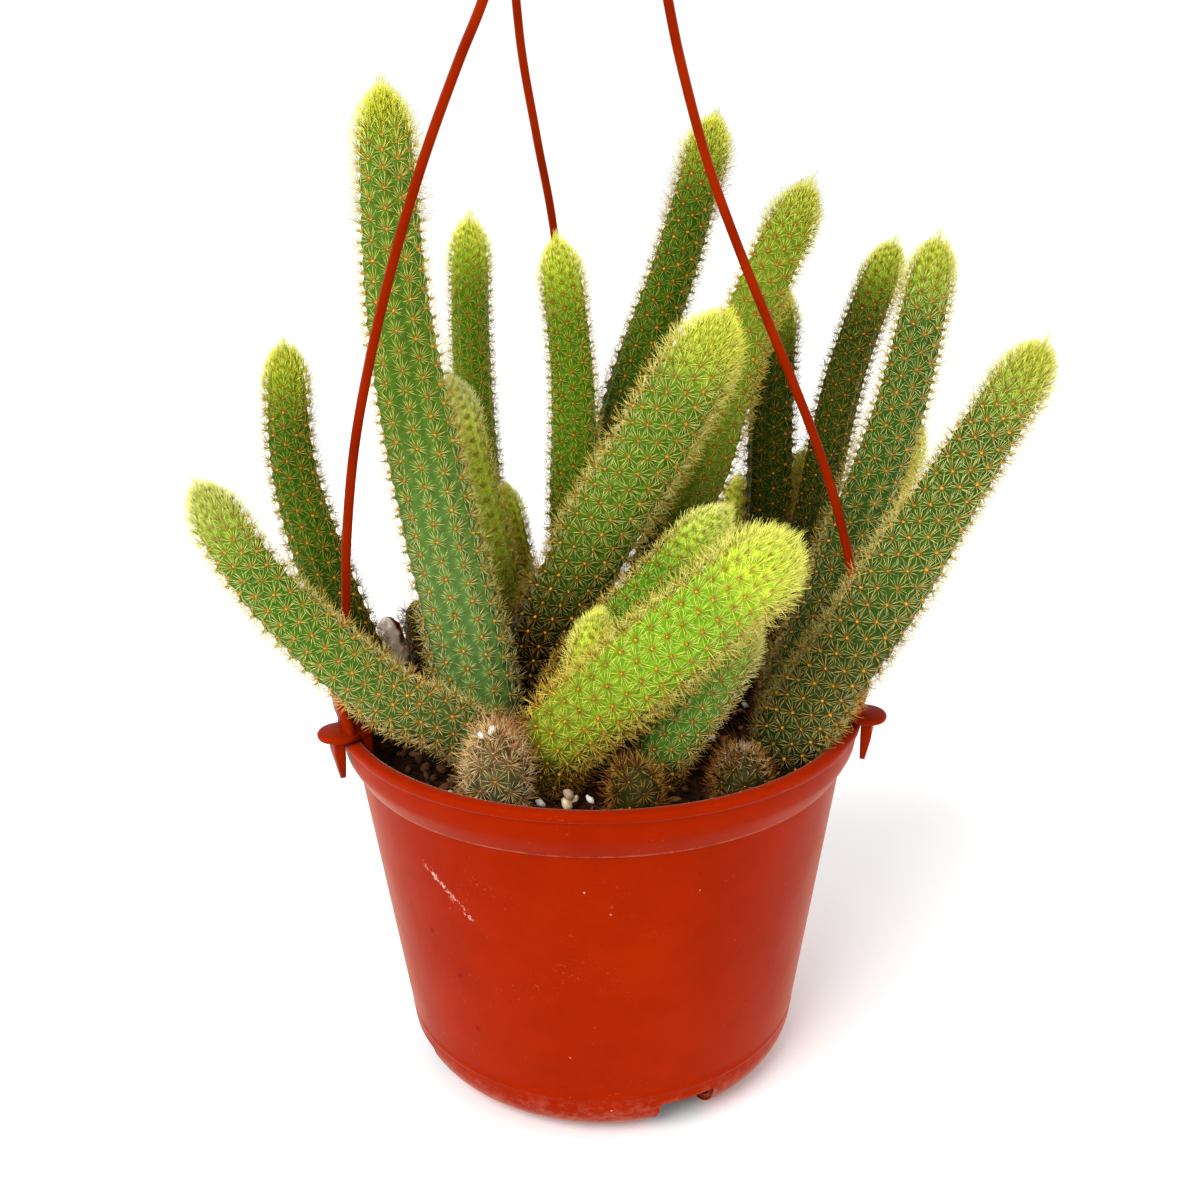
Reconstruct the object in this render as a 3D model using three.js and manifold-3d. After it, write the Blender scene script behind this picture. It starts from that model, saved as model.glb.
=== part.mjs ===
// Potted golden rat tail cactus: a clump of spiny ribbed stems in a round plastic nursery pot with a hanger.
// Millimetres, +Z up, origin at the centre of the pot's underside, -Y towards the front.
import * as THREE from 'three';
import Module from 'manifold-3d';
import { mergeVertices } from 'three/addons/utils/BufferGeometryUtils.js';

const wasm = await Module();
wasm.setup();

// Pot: a tapered shell with drain notches in its rounded base corner, and a flared band round the top that
// ends in a thick lip with a small flange outside.
const POT_HEIGHT = 111.2;
const RIM_RADIUS = 76;
const LIP_WIDTH = 4;
const FLANGE = 2.2;
const BAND_FOOT = 97.5;
const BAND_FOOT_RADIUS = 71.6;
const SHOULDER = 102.5;
const SHOULDER_RADIUS = 74.4;
const BAND_TOP_RADIUS = 75.1;
const WALL_TOP_RADIUS = 70.9;
const WALL_FOOT_RADIUS = 59.5;
const CORNER_RADIUS = 14;
const WALL = 1.8;
const POT_SIDES = 36;
const NOTCHES = 4;
const NOTCH_WIDTH = 17;
const NOTCH_HEIGHT = 11.4;
const NOTCH_BACK = 41;
const FIRST_NOTCH = 23;

// Soil: fills the pot to just under the lip, a little higher in the middle, with a crumbly top.
const SOIL_EDGE = 101;
const SOIL_MIDDLE = 104;
const SOIL_SIDES = 24;
const SOIL_CRUMB = 0.7;
const GAP = 0.35;

// Stems: foot depth in the soil, low ribs, and needles that stand on the rib crests.
const ROOT_DEPTH = 12;
const THICK_RIBS = 7;
const THIN_RIBS = 6;
const THIN_RADIUS = 6;
const VALLEY = 0.87;
const BAND_LENGTH = 25;
const TIP_LENGTH = 2.1;
const BLUNT_TIP_LENGTH = 1.6;
const FOOT_SHARE = 0.86;
const NEEDLE_LENGTH = 4.4;
const TIP_NEEDLE_LENGTH = 5.2;
const NEEDLE_ROOT = 0.62;
const TIP_NEEDLE_ROOT = 0.5;
const SHORTEST_NEEDLE = 2;
const CLEARANCE = 0.6;

// Hanger: three moulded strands with a clip each, plugged into a hub with a hook.
const STRAND = 2.6;
const STRAND_SIDES = 6;
const HUB = new THREE.Vector3(-3, 0, 384);
const HUB_RADIUS = 10.5;
const HUB_HEIGHT = 14;
const SOCKET_RADIUS = 5.8;
const SOCKET_DEPTH = 6;
const HOOK_RADIUS = 14;
const HOOK_ROD = 4.6;
const DISC_RADIUS = 6.2;
const DISC_THICKNESS = 2;
const DISC_CENTRE = 76.8;
const BRIDGE_THICKNESS = 2.4;
const CLIP_WIDTH = 8;
const PRONG_DEPTH = 12;
const PRONG_THICKNESS = 2.6;
const PRONG_TIP_WIDTH = 3.2;
const PRONG_TAPER = 5;
const INNER_LEG_DEPTH = 7;
const INNER_LEG_THICKNESS = 2.6;

const colours = {
  pot: { color: 0xb52c08, roughness: 0.45, metalness: 0 },
  hanger: { color: 0xa81e08, roughness: 0.4, metalness: 0 },
  soil: { color: 0x2a1d14, roughness: 1, metalness: 0 },
  stem: { color: 0x5f8a35, roughness: 0.75, metalness: 0 },
  youngStem: { color: 0x8fb52e, roughness: 0.75, metalness: 0 },
  dryStem: { color: 0xa98a66, roughness: 0.9, metalness: 0 },
};

const model = new THREE.Group();

function addPart(name, geometry, look) {
  const mesh = new THREE.Mesh(geometry, new THREE.MeshStandardMaterial(colours[look]));
  mesh.name = name;
  model.add(mesh);
  return mesh;
}

// A closed three.js geometry as a solid that can be cut and joined.
function solidOf(geometry) {
  const bare = geometry.clone();
  bare.deleteAttribute('normal');
  bare.deleteAttribute('uv');
  const merged = mergeVertices(bare, 1e-4);
  return new wasm.Manifold(new wasm.Mesh({
    numProp: 3,
    vertProperties: new Float32Array(merged.attributes.position.array),
    triVerts: new Uint32Array(merged.index.array),
  }));
}

function geometryOf(solid) {
  const mesh = solid.getMesh();
  const geometry = new THREE.BufferGeometry();
  geometry.setAttribute('position', new THREE.BufferAttribute(Float32Array.from(mesh.vertProperties), 3));
  geometry.setIndex(new THREE.BufferAttribute(Uint32Array.from(mesh.triVerts), 1));
  geometry.computeVertexNormals();
  return geometry;
}

function indexedGeometry(points, triangles) {
  const geometry = new THREE.BufferGeometry();
  const values = Float32Array.from(points.flatMap((p) => p.toArray()));
  geometry.setAttribute('position', new THREE.BufferAttribute(values, 3));
  geometry.setIndex(triangles.flat());
  geometry.computeVertexNormals();
  return geometry;
}

// A profile of [radius, height] pairs turned round the Z axis.
function turned(profile, sides) {
  const geometry = new THREE.LatheGeometry(profile.map(([r, z]) => new THREE.Vector2(r, z)), sides);
  return geometry.rotateX(Math.PI / 2);
}

// Points of a quarter arc in a profile, from one angle to another.
function arc([cx, cz], radius, from, to, steps) {
  return Array.from({ length: steps + 1 }, (_, i) => {
    const a = THREE.MathUtils.degToRad(from + ((to - from) * i) / steps);
    return [cx + radius * Math.cos(a), cz + radius * Math.sin(a)];
  });
}

function polar(radius, degrees, z) {
  const a = THREE.MathUtils.degToRad(degrees);
  return new THREE.Vector3(radius * Math.cos(a), radius * Math.sin(a), z);
}

// A small repeatable random source, so that every build is the same.
function randomFrom(seed) {
  let state = seed >>> 0;
  return () => {
    state = (Math.imul(state, 1664525) + 1013904223) >>> 0;
    return state / 4294967296;
  };
}

// Frames carried along a line of points without twist: tangent, side and up at each point.
function framesAlong(points) {
  const frames = [];
  let side = new THREE.Vector3(1, 0, 0);
  points.forEach((point, i) => {
    const before = points[Math.max(i - 1, 0)];
    const after = points[Math.min(i + 1, points.length - 1)];
    const tangent = after.clone().sub(before).normalize();
    side = side.clone().addScaledVector(tangent, -side.dot(tangent)).normalize();
    frames.push({ point, tangent, side, up: tangent.clone().cross(side) });
  });
  return frames;
}

function ringPoint(frame, angle, a, b = a) {
  return frame.point.clone()
    .addScaledVector(frame.side, a * Math.cos(angle))
    .addScaledVector(frame.up, b * Math.sin(angle));
}

// Rings of equal count joined into a closed skin, each end closed by a flat fan.
function loft(rings) {
  const sides = rings[0].length;
  const points = rings.flat();
  const triangles = [];
  for (let k = 0; k + 1 < rings.length; k += 1) {
    for (let i = 0; i < sides; i += 1) {
      const j = (i + 1) % sides;
      const a = k * sides + i;
      const b = k * sides + j;
      triangles.push([a, b, b + sides], [a, b + sides, a + sides]);
    }
  }
  const last = (rings.length - 1) * sides;
  for (let i = 1; i + 1 < sides; i += 1) {
    triangles.push([0, i + 1, i]);
    triangles.push([last, last + i, last + i + 1]);
  }
  return indexedGeometry(points, triangles);
}

// Pot
const cornerCentre = [WALL_FOOT_RADIUS - CORNER_RADIUS, CORNER_RADIUS];
const potOutside = [
  [0, 0],
  ...arc(cornerCentre, CORNER_RADIUS, -90, 0, 4),
  [WALL_TOP_RADIUS, BAND_FOOT - 0.6],
  [BAND_FOOT_RADIUS, BAND_FOOT],
  [SHOULDER_RADIUS, SHOULDER],
  [BAND_TOP_RADIUS, POT_HEIGHT - FLANGE - 0.4],
  [RIM_RADIUS, POT_HEIGHT - FLANGE],
  [RIM_RADIUS, POT_HEIGHT - 0.9],
  [RIM_RADIUS - 0.5, POT_HEIGHT],
];
const potInside = [
  [RIM_RADIUS - LIP_WIDTH, POT_HEIGHT],
  [RIM_RADIUS - LIP_WIDTH, SHOULDER + 1],
  [BAND_FOOT_RADIUS - WALL, BAND_FOOT],
  [WALL_TOP_RADIUS - WALL, BAND_FOOT - 2],
  ...arc(cornerCentre, CORNER_RADIUS - WALL, 0, -90, 3),
  [0, WALL],
];

// A solid with the drain notches cut out of its base corner, each grown by a margin on every side.
function notched(solid, margin) {
  let rest = solid;
  for (let i = 0; i < NOTCHES; i += 1) {
    const width = NOTCH_WIDTH + 2 * margin;
    const notch = new THREE.BoxGeometry(2 * CORNER_RADIUS, width, 2 * (NOTCH_HEIGHT + margin));
    notch.translate(NOTCH_BACK - margin + CORNER_RADIUS, 0, 0);
    notch.rotateZ(THREE.MathUtils.degToRad(FIRST_NOTCH + (360 * i) / NOTCHES));
    rest = rest.subtract(solidOf(notch));
  }
  return rest;
}

function pot() {
  const shell = solidOf(turned([...potOutside, ...potInside], POT_SIDES));
  addPart('pot', geometryOf(notched(shell, 0)), 'pot');
}

// Every obstacle that needles keep clear of: a ball with its owner's name.
const obstacles = [];

function addObstacles(owner, points, radii) {
  points.forEach((point, i) => obstacles.push({ owner, point, radius: radii[i] }));
}

// The rings of a stem's tip: how far each lies below the top, as a share of the tip's length, and its share
// of the full radius there.
const TIP_RINGS = [{ back: 0.95, share: 1 }, { back: 0.36, share: 0.77 }];

// A stem: its foot [x, y] on the soil, the points its centre line passes through, the last one its top,
// its radius low down, half way and near the top, and how many of the last radius its tip is long.
class Stem {
  constructor(name, foot, through, radii, look = 'stem', tipLength = TIP_LENGTH) {
    Object.assign(this, { name, radii, look });
    this.tip = tipLength * radii[2];
    this.ribs = radii[0] < THIN_RADIUS ? THIN_RIBS : THICK_RIBS;
    const soilLevel = new THREE.Vector3(foot[0], foot[1], SOIL_EDGE - 1);
    this.bottom = soilLevel.clone().setZ(SOIL_EDGE - ROOT_DEPTH);
    const line = [soilLevel, ...through.map((p) => new THREE.Vector3(...p))];
    this.curve = new THREE.CatmullRomCurve3(line, false, 'centripetal');
    this.length = this.curve.getLength();
    const samples = Math.ceil(this.length / 4);
    this.samples = this.curve.getSpacedPoints(samples);
    addObstacles(name, this.samples, this.samples.map((_, i) => this.radiusAt(i / samples)));
  }

  // The radius at a share of the length: full soon after the foot, then easing to the top's.
  radiusAt(share) {
    const [low, middle, top] = this.radii;
    const girth = share < 0.5
      ? THREE.MathUtils.lerp(low, middle, share * 2)
      : THREE.MathUtils.lerp(middle, top, share * 2 - 1);
    const foot = THREE.MathUtils.lerp(FOOT_SHARE, 1, Math.min(share * this.length / 14, 1));
    return girth * foot;
  }

  // Stations along the stem: the root's bottom, the soil, even bands, and the rings of the tip.
  stations() {
    const straight = this.length - TIP_RINGS[0].back * this.tip;
    const bands = Math.max(1, Math.round(straight / BAND_LENGTH));
    const list = [{ at: -1, share: 1 }];
    for (let i = 0; i <= bands; i += 1) {
      list.push({ at: (straight * i) / bands, share: 1 });
    }
    list.push({ at: this.length - TIP_RINGS[1].back * this.tip, share: TIP_RINGS[1].share });
    return list;
  }

  rings() {
    const list = this.stations();
    const points = list.map(({ at }) => (at < 0 ? this.bottom : this.curve.getPointAt(at / this.length)));
    points.push(this.curve.getPointAt(1));
    const frames = framesAlong(points);
    frames[0].tangent.set(0, 0, 1);
    return { list, frames };
  }

  // The outline of one ring: crests at even places and valleys between them.
  ring(frame, radius) {
    return Array.from({ length: 2 * this.ribs }, (_, i) => {
      const r = i % 2 ? radius * VALLEY : radius;
      return ringPoint(frame, (Math.PI * i) / this.ribs, r);
    });
  }

  // The tool that cuts this stem's hole in the soil: its crests only, a gap wider all round.
  hole() {
    const { list, frames } = this.rings();
    const rings = frames.slice(0, 3).map((frame, k) => {
      const radius = this.radiusAt(Math.max(list[k].at, 0) / this.length) * list[k].share + GAP + 0.1;
      const turn = (2 * Math.PI) / this.ribs;
      return Array.from({ length: this.ribs }, (_, i) => ringPoint(frame, turn * i, radius));
    });
    rings[0].forEach((p) => p.setZ(p.z - GAP));
    return solidOf(loft(rings));
  }

  // True if a needle's tip stays on this stem's own side of every other thing.
  clear(tip) {
    if (tip.z < SOIL_MIDDLE + 1) return false;
    const outward = Math.hypot(tip.x, tip.y);
    const nearLip = outward > RIM_RADIUS - LIP_WIDTH - 2 && outward < RIM_RADIUS + 2;
    if (nearLip && tip.z < POT_HEIGHT + 2) return false;
    let own = Infinity;
    let other = Infinity;
    for (const { owner, point, radius } of obstacles) {
      const reach = point.distanceTo(tip) - radius;
      if (owner === this.name) own = Math.min(own, reach);
      else other = Math.min(other, reach);
    }
    return other > own + CLEARANCE;
  }

  build(seed) {
    const random = randomFrom(seed);
    const { list, frames } = this.rings();
    const sides = 2 * this.ribs;
    const points = [];
    list.forEach(({ at, share }, k) => {
      const radius = this.radiusAt(Math.max(at, 0) / this.length) * share;
      points.push(...this.ring(frames[k], radius));
    });
    const triangles = [];
    const apex = points.length;
    points.push(frames[frames.length - 1].point.clone());

    // A face with a needle raised from a small triangle inside it.
    const raiseNeedle = (a, b, c, weights, root, length, lean) => {
      const corners = [a, b, c].map((v) => points[v]);
      const centre = new THREE.Vector3();
      corners.forEach((corner, i) => centre.addScaledVector(corner, weights[i]));
      const normal = corners[1].clone().sub(corners[0]).cross(corners[2].clone().sub(corners[0])).normalize();
      const aim = normal.clone().addScaledVector(lean, 1).normalize();
      let reach = length;
      let tip = centre.clone().addScaledVector(aim, reach);
      while (reach >= SHORTEST_NEEDLE && !this.clear(tip)) {
        reach *= 0.8;
        tip = centre.clone().addScaledVector(aim, reach);
      }
      if (reach < SHORTEST_NEEDLE) {
        triangles.push([a, b, c]);
        return;
      }
      const first = points.length;
      corners.forEach((corner) => {
        points.push(centre.clone().addScaledVector(corner.clone().sub(centre).normalize(), root));
      });
      points.push(tip);
      const [p, q, r, t] = [first, first + 1, first + 2, first + 3];
      triangles.push([a, b, q], [a, q, p], [b, c, r], [b, r, q], [c, a, p], [c, p, r]);
      triangles.push([p, q, t], [q, r, t], [r, p, t]);
    };

    for (let i = 1; i + 1 < sides; i += 1) triangles.push([0, i + 1, i]);

    for (let k = 0; k + 1 < list.length; k += 1) {
      const inTip = k + 2 === list.length;
      const along = frames[k].tangent.clone().lerp(frames[k + 1].tangent, 0.5);
      for (let rib = 0; rib < this.ribs; rib += 1) {
        const crest = k * sides + 2 * rib;
        const crestAbove = crest + sides;
        const right = k * sides + 2 * rib + 1;
        const left = k * sides + ((2 * rib + sides - 1) % sides);
        const height = 0.3 + 0.4 * random();
        const swing = (random() - 0.5) * 0.5;
        const turn = (2 * Math.PI * rib) / this.ribs + Math.PI / 2;
        const sideways = frames[k].side.clone().applyAxisAngle(frames[k].tangent, turn);
        const lean = along.clone().multiplyScalar(inTip ? 0.9 : 0.35).addScaledVector(sideways, swing);
        const length = inTip ? TIP_NEEDLE_LENGTH : NEEDLE_LENGTH * (0.9 + 0.2 * random());
        const toRight = inTip || (rib + k) % 2 === 0;
        triangles.push([right, right + sides, crestAbove], [left, crestAbove, left + sides]);
        if (k > 0 && toRight) {
          const low = inTip ? 0.45 : 0.86 * (1 - height);
          const root = inTip ? TIP_NEEDLE_ROOT : NEEDLE_ROOT;
          raiseNeedle(crest, right, crestAbove, [low, 0.14, 0.86 - low], root, length, lean);
        } else {
          triangles.push([crest, right, crestAbove]);
        }
        if (k > 0 && !toRight) {
          const low = 0.86 * height;
          raiseNeedle(crest, crestAbove, left, [low, 0.86 - low, 0.14], NEEDLE_ROOT, length, lean);
        } else {
          triangles.push([crest, crestAbove, left]);
        }
      }
    }

    const last = (list.length - 1) * sides;
    const axis = frames[frames.length - 1].tangent;
    for (let i = 0; i < sides; i += 1) {
      const a = last + i;
      const b = last + ((i + 1) % sides);
      const lean = axis.clone().multiplyScalar(1.1);
      if (i % 2 === 0) raiseNeedle(a, b, apex, [0.33, 0.33, 0.34], TIP_NEEDLE_ROOT, TIP_NEEDLE_LENGTH, lean);
      else triangles.push([a, b, apex]);
    }
    addPart(this.name, indexedGeometry(points, triangles), this.look);
  }
}

// Each stem as it grows: foot, points on its centre line up to its top, radii.
const stems = [
  new Stem('stem_left_low', [-36, -34],
    [[-42, -36, 111], [-53, -39, 121], [-69, -44, 141.5], [-86, -48.5, 166], [-95, -52, 187]],
    [7.6, 7.4, 5.5]),
  new Stem('stem_left_upright', [-56, -2],
    [[-64, -3, 114], [-75.4, -5, 147], [-82.6, -6, 181], [-82, -8, 214]], [7.2, 7.2, 4.7]),
  new Stem('stem_tallest', [-34, -15],
    [[-35, -13, 120], [-43, -9, 162], [-52, -3, 220], [-54, 4, 277]], [11, 10, 6.4]),
  new Stem('stem_back_left', [-31, 42],
    [[-32, 42, 115], [-35, 42, 156], [-37, 42, 200], [-36, 42, 243]], [6.4, 6.1, 5.3]),
  new Stem('stem_behind_tallest', [-29, 20],
    [[-27, 20, 116], [-31, 19, 144], [-36, 17, 172], [-41, 16, 201]], [6.8, 6.6, 4.8]),
  new Stem('shoot_centre', [-20, 30],
    [[-19, 29, 116], [-23, 28, 142], [-27, 25, 167]], [4.2, 4, 3], 'youngStem'),
  new Stem('stem_back_centre', [-6, 28],
    [[-7, 26, 120], [-7, 25, 158], [-6.5, 25, 199], [-10, 24, 238]], [7.6, 7, 5.3]),
  new Stem('stem_thick_leaning', [-17, 4],
    [[-17, 3, 124], [-3, -4, 155], [15, -14, 189], [32, -24, 222]], [10, 10.4, 8.3]),
  new Stem('stem_back_high', [-5, 47],
    [[-4, 47, 125], [0.5, 46, 152], [11, 44, 191], [24.5, 41, 231], [35, 38, 270]], [8.2, 8, 5.4]),
  new Stem('stem_back_right', [15, 12],
    [[18, 12, 124], [31, 13, 175], [42, 13, 215], [58, 14, 252]], [7.8, 7.8, 6.2]),
  new Stem('stem_back_upright', [45, 29],
    [[49, 32, 118], [53, 33, 151], [53, 33, 188], [54, 34, 224]], [7.4, 7.3, 5.9]),
  new Stem('stem_right_inner', [59, 21],
    [[60.5, 24, 126], [67.2, 27, 163], [74, 28, 200], [86, 30, 236]], [6.4, 6.3, 5.2]),
  new Stem('stem_right', [52, -5],
    [[57, -3, 115], [71, 0, 153], [85, 4, 196], [93, 8, 238]], [8.4, 7.8, 5.7]),
  new Stem('stem_right_hidden', [60.5, 7],
    [[62.5, 9.8, 115], [77, 22, 133], [88, 26, 158], [96, 30, 184]], [5.6, 5.6, 4.5]),
  new Stem('stem_far_right', [47.6, -31],
    [[52.5, -33, 115], [68.5, -36.5, 142.5], [88.5, -37, 180], [107, -40, 216]], [9.4, 9, 5.6]),
  new Stem('stem_front_upper', [-11, -15],
    [[-10, -15, 118], [2.3, -19, 136.5], [17, -26, 155], [32, -32, 174]], [6.6, 6.4, 5.6]),
  new Stem('stem_front_bright', [-13, -43],
    [[-11, -43, 116], [6, -48, 135], [25.5, -53, 154], [44.5, -58.5, 173]], [9.4, 9.8, 8.6], 'youngStem',
    BLUNT_TIP_LENGTH),
  new Stem('shoot_front', [-5, -30],
    [[-6, -31, 120], [-4, -32, 133], [0, -33, 147]], [4.4, 4.4, 3.7], 'youngStem'),
  new Stem('stem_front_under', [14, -42],
    [[15, -42, 110], [26, -41, 127], [39, -40, 148]], [7, 7, 5.7]),
  new Stem('stump_front_left', [-28, -55],
    [[-27, -55, 115], [-28, -53, 123]], [7.4, 7.4, 6.6], 'dryStem', BLUNT_TIP_LENGTH),
  new Stem('stump_front_centre', [8, -60],
    [[8, -60, 110], [7, -58, 117]], [6, 6, 5.4], 'stem', BLUNT_TIP_LENGTH),
  new Stem('stump_front_right', [36, -50],
    [[36, -50, 109], [36, -48, 115]], [6.8, 6.8, 6], 'dryStem', BLUNT_TIP_LENGTH),
  new Stem('stub_left_dry', [-60, 12],
    [[-62, 12, 123], [-63, 12, 132]], [3.9, 3.9, 3.5], 'dryStem', BLUNT_TIP_LENGTH),
  new Stem('stem_left_small', [-48, 18],
    [[-54, 18, 122], [-55, 18, 135]], [5, 4.8, 4.2]),
  new Stem('shoot_back_right', [36, 50],
    [[43, 50, 123], [46, 50, 163]], [4.8, 4.8, 4], 'youngStem'),
  new Stem('shoot_back_far', [47, 43],
    [[48.5, 42.5, 113], [60, 45, 128], [66, 46, 172]], [4.8, 4.7, 4], 'youngStem'),
];

function soil() {
  const inside = WALL + GAP;
  const crumb = randomFrom(7);
  const sideTop = BAND_FOOT - 3;
  const lean = (WALL_TOP_RADIUS - WALL_FOOT_RADIUS) / (BAND_FOOT - CORNER_RADIUS);
  const profile = [
    [0, inside],
    ...arc(cornerCentre, CORNER_RADIUS - inside, -90, 0, 3),
    [WALL_FOOT_RADIUS + lean * (sideTop - CORNER_RADIUS) - inside, sideTop],
    [BAND_FOOT_RADIUS - inside - GAP, BAND_FOOT],
    [BAND_FOOT_RADIUS - WALL + GAP, SOIL_EDGE],
    [50, SOIL_EDGE + 0.9],
    [26, SOIL_MIDDLE - 0.9],
    [0, SOIL_MIDDLE],
  ];
  const round = turned(profile, SOIL_SIDES).deleteAttribute('normal').deleteAttribute('uv');
  const bed = mergeVertices(round, 1e-4);
  const position = bed.attributes.position;
  for (let i = 0; i < position.count; i += 1) {
    const radius = Math.hypot(position.getX(i), position.getY(i));
    if (position.getZ(i) > SOIL_EDGE + 0.2 && radius > 1) {
      position.setZ(i, position.getZ(i) + SOIL_CRUMB * (crumb() - 0.5) * 2);
    }
  }
  let ground = notched(solidOf(bed), GAP);
  stems.forEach((stem) => { ground = ground.subtract(stem.hole()); });
  addPart('soil', geometryOf(ground), 'soil');
}

// A strand's blade, in the upright plane of its clip: radius and height, and how wide and thick it is there.
const BLADE = [
  { r: 74.8, z: 113.2, wide: 11.4, thick: 3.8 },
  { r: 74.9, z: 116, wide: 11.6, thick: 3.8 },
  { r: 76, z: 120, wide: 11.2, thick: 3.6 },
  { r: 76.5, z: 125, wide: 9.4, thick: 3.2 },
  { r: 75.9, z: 131, wide: 6.6, thick: 3 },
  { r: 74.6, z: 138, wide: 4, thick: 2.8 },
  { r: 72.9, z: 147, wide: STRAND, thick: STRAND },
];

// Clips: where each grips the rim, and the points its strand passes through from the blade to the hub.
const hangers = [
  {
    name: 'hanger_strand_left',
    azimuth: 202,
    line: [[-66.3, -26.7, 164], [-62.7, -25.2, 190], [-57.4, -23, 213], [-50.4, -20, 237], [-42, -16.4, 261],
      [-32.5, -12.4, 284], [-27, -10.1, 296], [-18.7, -6.6, 318], [-12.7, -4.1, 340]],
  },
  {
    name: 'hanger_strand_right',
    azimuth: 343,
    line: [[64.7, -19.9, 168], [57.3, -17.7, 190], [47.6, -14.9, 213], [37.3, -11.8, 237], [28.4, -9.2, 260],
      [21.5, -7.2, 284], [18.8, -6.4, 296], [14.5, -5.1, 318], [10, -3.8, 340], [5.2, -2.4, 360]],
  },
  {
    name: 'hanger_strand_back',
    azimuth: 92,
    line: [[-6, 71, 180], [-12, 61, 243], [-16, 54, 267], [-20, 45, 295], [-20, 29, 330], [-12, 15, 358]],
  },
];

function socketOf({ azimuth }) {
  return polar(SOCKET_RADIUS, azimuth, 0).add(HUB);
}

function strand(hanger) {
  const blade = BLADE.map(({ r, z }) => polar(r, hanger.azimuth, z));
  const socket = socketOf(hanger);
  const end = socket.clone().setZ(HUB.z + SOCKET_DEPTH - GAP);
  const below = socket.clone().setZ(HUB.z - 8);
  const line = [...blade, ...hanger.line.map((p) => new THREE.Vector3(...p)), below, end];
  const curve = new THREE.CatmullRomCurve3(line, false, 'centripetal');
  const steps = 24;
  const radial = polar(1, hanger.azimuth, 0);
  const tangential = new THREE.Vector3(-radial.y, radial.x, 0);
  const rings = [];
  const centres = [];
  const halves = [];
  for (let k = 0; k <= steps; k += 1) {
    // Steps are closer together in the blade near the clip.
    const t = (k / steps) ** 1.25;
    const point = curve.getPointAt(t);
    const tangent = curve.getTangentAt(t);
    const size = sizeAt(point.z);
    const across = tangential.clone().addScaledVector(tangent, -tangential.dot(tangent)).normalize();
    const outward = across.clone().cross(tangent).normalize();
    centres.push(point);
    halves.push(size.wide / 2);
    rings.push(Array.from({ length: STRAND_SIDES }, (_, i) => {
      const a = (2 * Math.PI * i) / STRAND_SIDES;
      return point.clone()
        .addScaledVector(across, (size.wide / 2) * Math.cos(a))
        .addScaledVector(outward, -(size.thick / 2) * Math.sin(a) / Math.sin(Math.PI / 3));
    }));
  }
  addObstacles(hanger.name, centres, halves);
  return solidOf(loft(rings));
}

function sizeAt(z) {
  const above = BLADE.findIndex((s) => s.z >= z);
  if (above < 0) return { wide: STRAND, thick: STRAND };
  if (above === 0) return BLADE[0];
  const low = BLADE[above - 1];
  const high = BLADE[above];
  const t = (z - low.z) / (high.z - low.z);
  const between = (key) => THREE.MathUtils.lerp(low[key], high[key], t);
  return { wide: between('wide'), thick: between('thick') };
}

// The clip that grips the rim: a bridge over the lip with a tapered prong outside and a short leg inside, and
// a round thumb disc that stands out from it.
function clip({ azimuth }) {
  const seat = POT_HEIGHT + 0.3;
  const top = seat + BRIDGE_THICKNESS;
  const inner = RIM_RADIUS - LIP_WIDTH - 0.6;
  const outer = RIM_RADIUS + 0.35;
  const block = (from, to, low) => {
    const geometry = new THREE.BoxGeometry(to - from, CLIP_WIDTH, top - low);
    return geometry.translate((from + to) / 2, 0, (low + top) / 2);
  };
  const disc = new THREE.CylinderGeometry(DISC_RADIUS, DISC_RADIUS, DISC_THICKNESS, 18);
  disc.rotateX(Math.PI / 2).translate(DISC_CENTRE, 0, top - DISC_THICKNESS / 2);
  const tip = seat - PRONG_DEPTH;
  const face = new THREE.Shape([
    [-CLIP_WIDTH / 2, seat + 1],
    [-CLIP_WIDTH / 2, tip + PRONG_TAPER],
    [-PRONG_TIP_WIDTH / 2, tip],
    [PRONG_TIP_WIDTH / 2, tip],
    [CLIP_WIDTH / 2, tip + PRONG_TAPER],
    [CLIP_WIDTH / 2, seat + 1],
  ].map(([across, z]) => new THREE.Vector2(across, z)));
  const prong = new THREE.ExtrudeGeometry(face, { depth: PRONG_THICKNESS, bevelEnabled: false });
  prong.rotateX(Math.PI / 2).rotateZ(Math.PI / 2).translate(outer, 0, 0);
  const forms = [
    block(inner - INNER_LEG_THICKNESS, outer + PRONG_THICKNESS, seat),
    block(inner - INNER_LEG_THICKNESS, inner, seat - INNER_LEG_DEPTH),
    prong,
    disc,
  ];
  addObstacles('clip', [polar(RIM_RADIUS, azimuth, seat)], [DISC_RADIUS + 1]);
  const pieces = forms.map((geometry) => solidOf(geometry.rotateZ(THREE.MathUtils.degToRad(azimuth))));
  return pieces.reduce((whole, piece) => whole.add(piece));
}

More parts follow.
